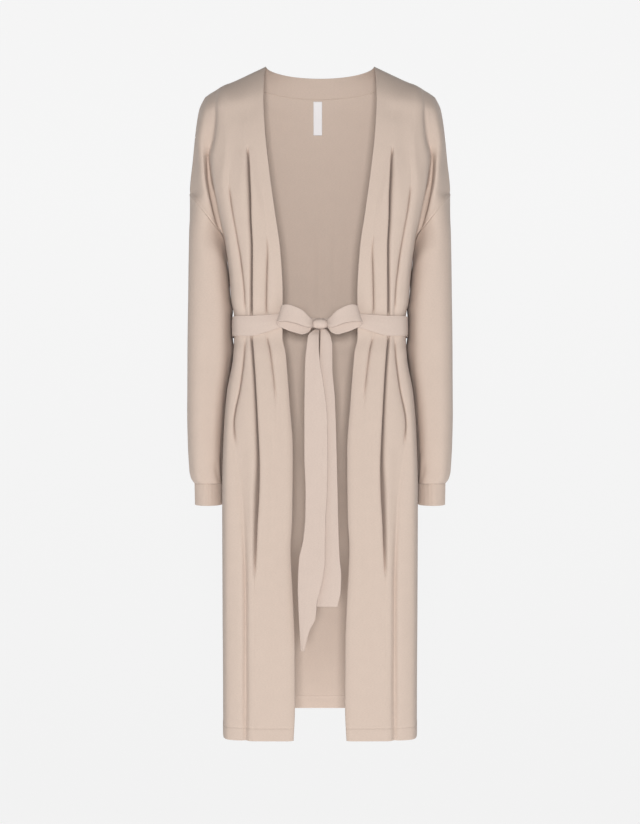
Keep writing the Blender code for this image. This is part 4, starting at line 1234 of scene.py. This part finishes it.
def new_tape(name, colour):
    """Smooth woven label tape with a fine cross weave."""
    material = bpy.data.materials.new(name)
    material.use_nodes = True
    tree = material.node_tree
    shader = tree.nodes["Principled BSDF"]
    shader.inputs["Roughness"].default_value = 0.6
    place = add_node(tree, "ShaderNodeUVMap", uv_map="cloth").outputs["UV"]
    parts = add_node(tree, "ShaderNodeSeparateXYZ")
    tree.links.new(place, parts.inputs[0])
    weave = maths(tree, "SINE", maths(tree, "MULTIPLY", parts.outputs[1], 2 * math.pi / (0.5 * MM)))
    shade = cloth_noise(tree, place, 4.0, 1.0, 2.0)
    base = mixed(tree, shade, scaled(colour, 0.97), scaled(colour, 1.0))
    tree.links.new(base, shader.inputs["Base Color"])
    bump = add_node(tree, "ShaderNodeBump")
    bump.inputs["Strength"].default_value = 0.2
    bump.inputs["Distance"].default_value = 0.0001
    tree.links.new(weave, bump.inputs["Height"])
    tree.links.new(bump.outputs["Normal"], shader.inputs["Normal"])
    return material


def add_stage():
    """A plain pale floor that curves up into a backdrop."""
    profile = [(-6.0, FLOOR), (2.2, FLOOR)]
    for k in range(1, 13):
        angle = math.pi / 2 * k / 12
        profile.append((2.2 + 1.8 * math.sin(angle), FLOOR + 1.8 * (1 - math.cos(angle))))
    profile.append((4.0, 5.0))
    half = 6.0
    vertices = [(x, y, z) for y, z in profile for x in (-half, half)]
    faces = [(2 * k, 2 * k + 1, 2 * k + 3, 2 * k + 2) for k in range(len(profile) - 1)]
    mesh = bpy.data.meshes.new("backdrop")
    mesh.from_pydata(vertices, [], faces)
    mesh.shade_smooth()
    material = bpy.data.materials.new("backdrop")
    material.use_nodes = True
    shader = material.node_tree.nodes["Principled BSDF"]
    shader.inputs["Base Color"].default_value = (0.12, 0.12, 0.12, 1.0)
    shader.inputs["Roughness"].default_value = 1.0
    shader.inputs["Specular IOR Level"].default_value = 0.0
    shader.inputs["Emission Color"].default_value = (1.0, 1.0, 1.0, 1.0)
    shader.inputs["Emission Strength"].default_value = 0.84
    mesh.materials.append(material)
    stage = bpy.data.objects.new("backdrop", mesh)
    bpy.context.scene.collection.objects.link(stage)


def add_camera():
    """A level camera in front, at the photograph's distance and height."""
    camera = bpy.data.cameras.new("camera")
    camera.lens = 36.0 * PIXELS_PER_METRE * CAMERA_AWAY / IMAGE_HEIGHT
    camera.clip_end = 50.0
    holder = bpy.data.objects.new("camera", camera)
    holder.location = (0.0, -CAMERA_AWAY, CAMERA_HEIGHT)
    holder.rotation_euler = (math.pi / 2, 0.0, 0.0)
    bpy.context.scene.collection.objects.link(holder)
    bpy.context.scene.camera = holder


def add_light(name, location, target, size, power):
    """A soft square light turned to its target."""
    light = bpy.data.lights.new(name, "AREA")
    light.size = size
    light.energy = power
    holder = bpy.data.objects.new(name, light)
    holder.location = location
    away = np.array(location) - np.array(target)
    flat = math.hypot(away[0], away[1])
    holder.rotation_euler = (math.atan2(flat, away[2]), 0.0, math.atan2(away[0], -away[1]))
    bpy.context.scene.collection.objects.link(holder)


def add_lights():
    """Soft studio light from the front and above, with a pale surround."""
    world = bpy.data.worlds.new("surround")
    world.use_nodes = True
    background = world.node_tree.nodes["Background"]
    background.inputs["Color"].default_value = (1.0, 1.0, 1.0, 1.0)
    background.inputs["Strength"].default_value = 0.12
    bpy.context.scene.world = world
    add_light("front_light", (0.0, -6.0, -0.5), (0.0, 0.0, -0.55), 0.8, 256.0)
    add_light("top_light", (0.0, -2.4, 1.6), (0.0, 0.0, -0.4), 1.6, 3.0)


def main():
    """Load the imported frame, dress it and light it."""
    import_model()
    bpy.context.scene.view_settings.view_transform = "Standard"
    add_camera()
    knit = new_knit("knit", CLOTH_COLOUR, 0.5)
    rib = new_knit("rib", CLOTH_COLOUR, 0.4)
    belt_knit = new_knit("belt_knit", BELT_COLOUR, 0.45)
    add_body(knit)
    add_cuffs(rib)
    add_belt(belt_knit)
    add_loop("bow_loop_left", 1.0, belt_knit, False)
    add_loop("bow_loop_right", 1.03, belt_knit, True)
    add_knot(belt_knit)
    add_tail("belt_tail_right", TAIL_RIGHT, 1.5, TAIL_RIGHT_MARKS, belt_knit)
    add_tail("belt_tail_left", TAIL_LEFT, -1.5, TAIL_LEFT_MARKS, belt_knit)
    add_label(new_tape("label", LABEL_COLOUR))
    add_stage()
    add_lights()


main()
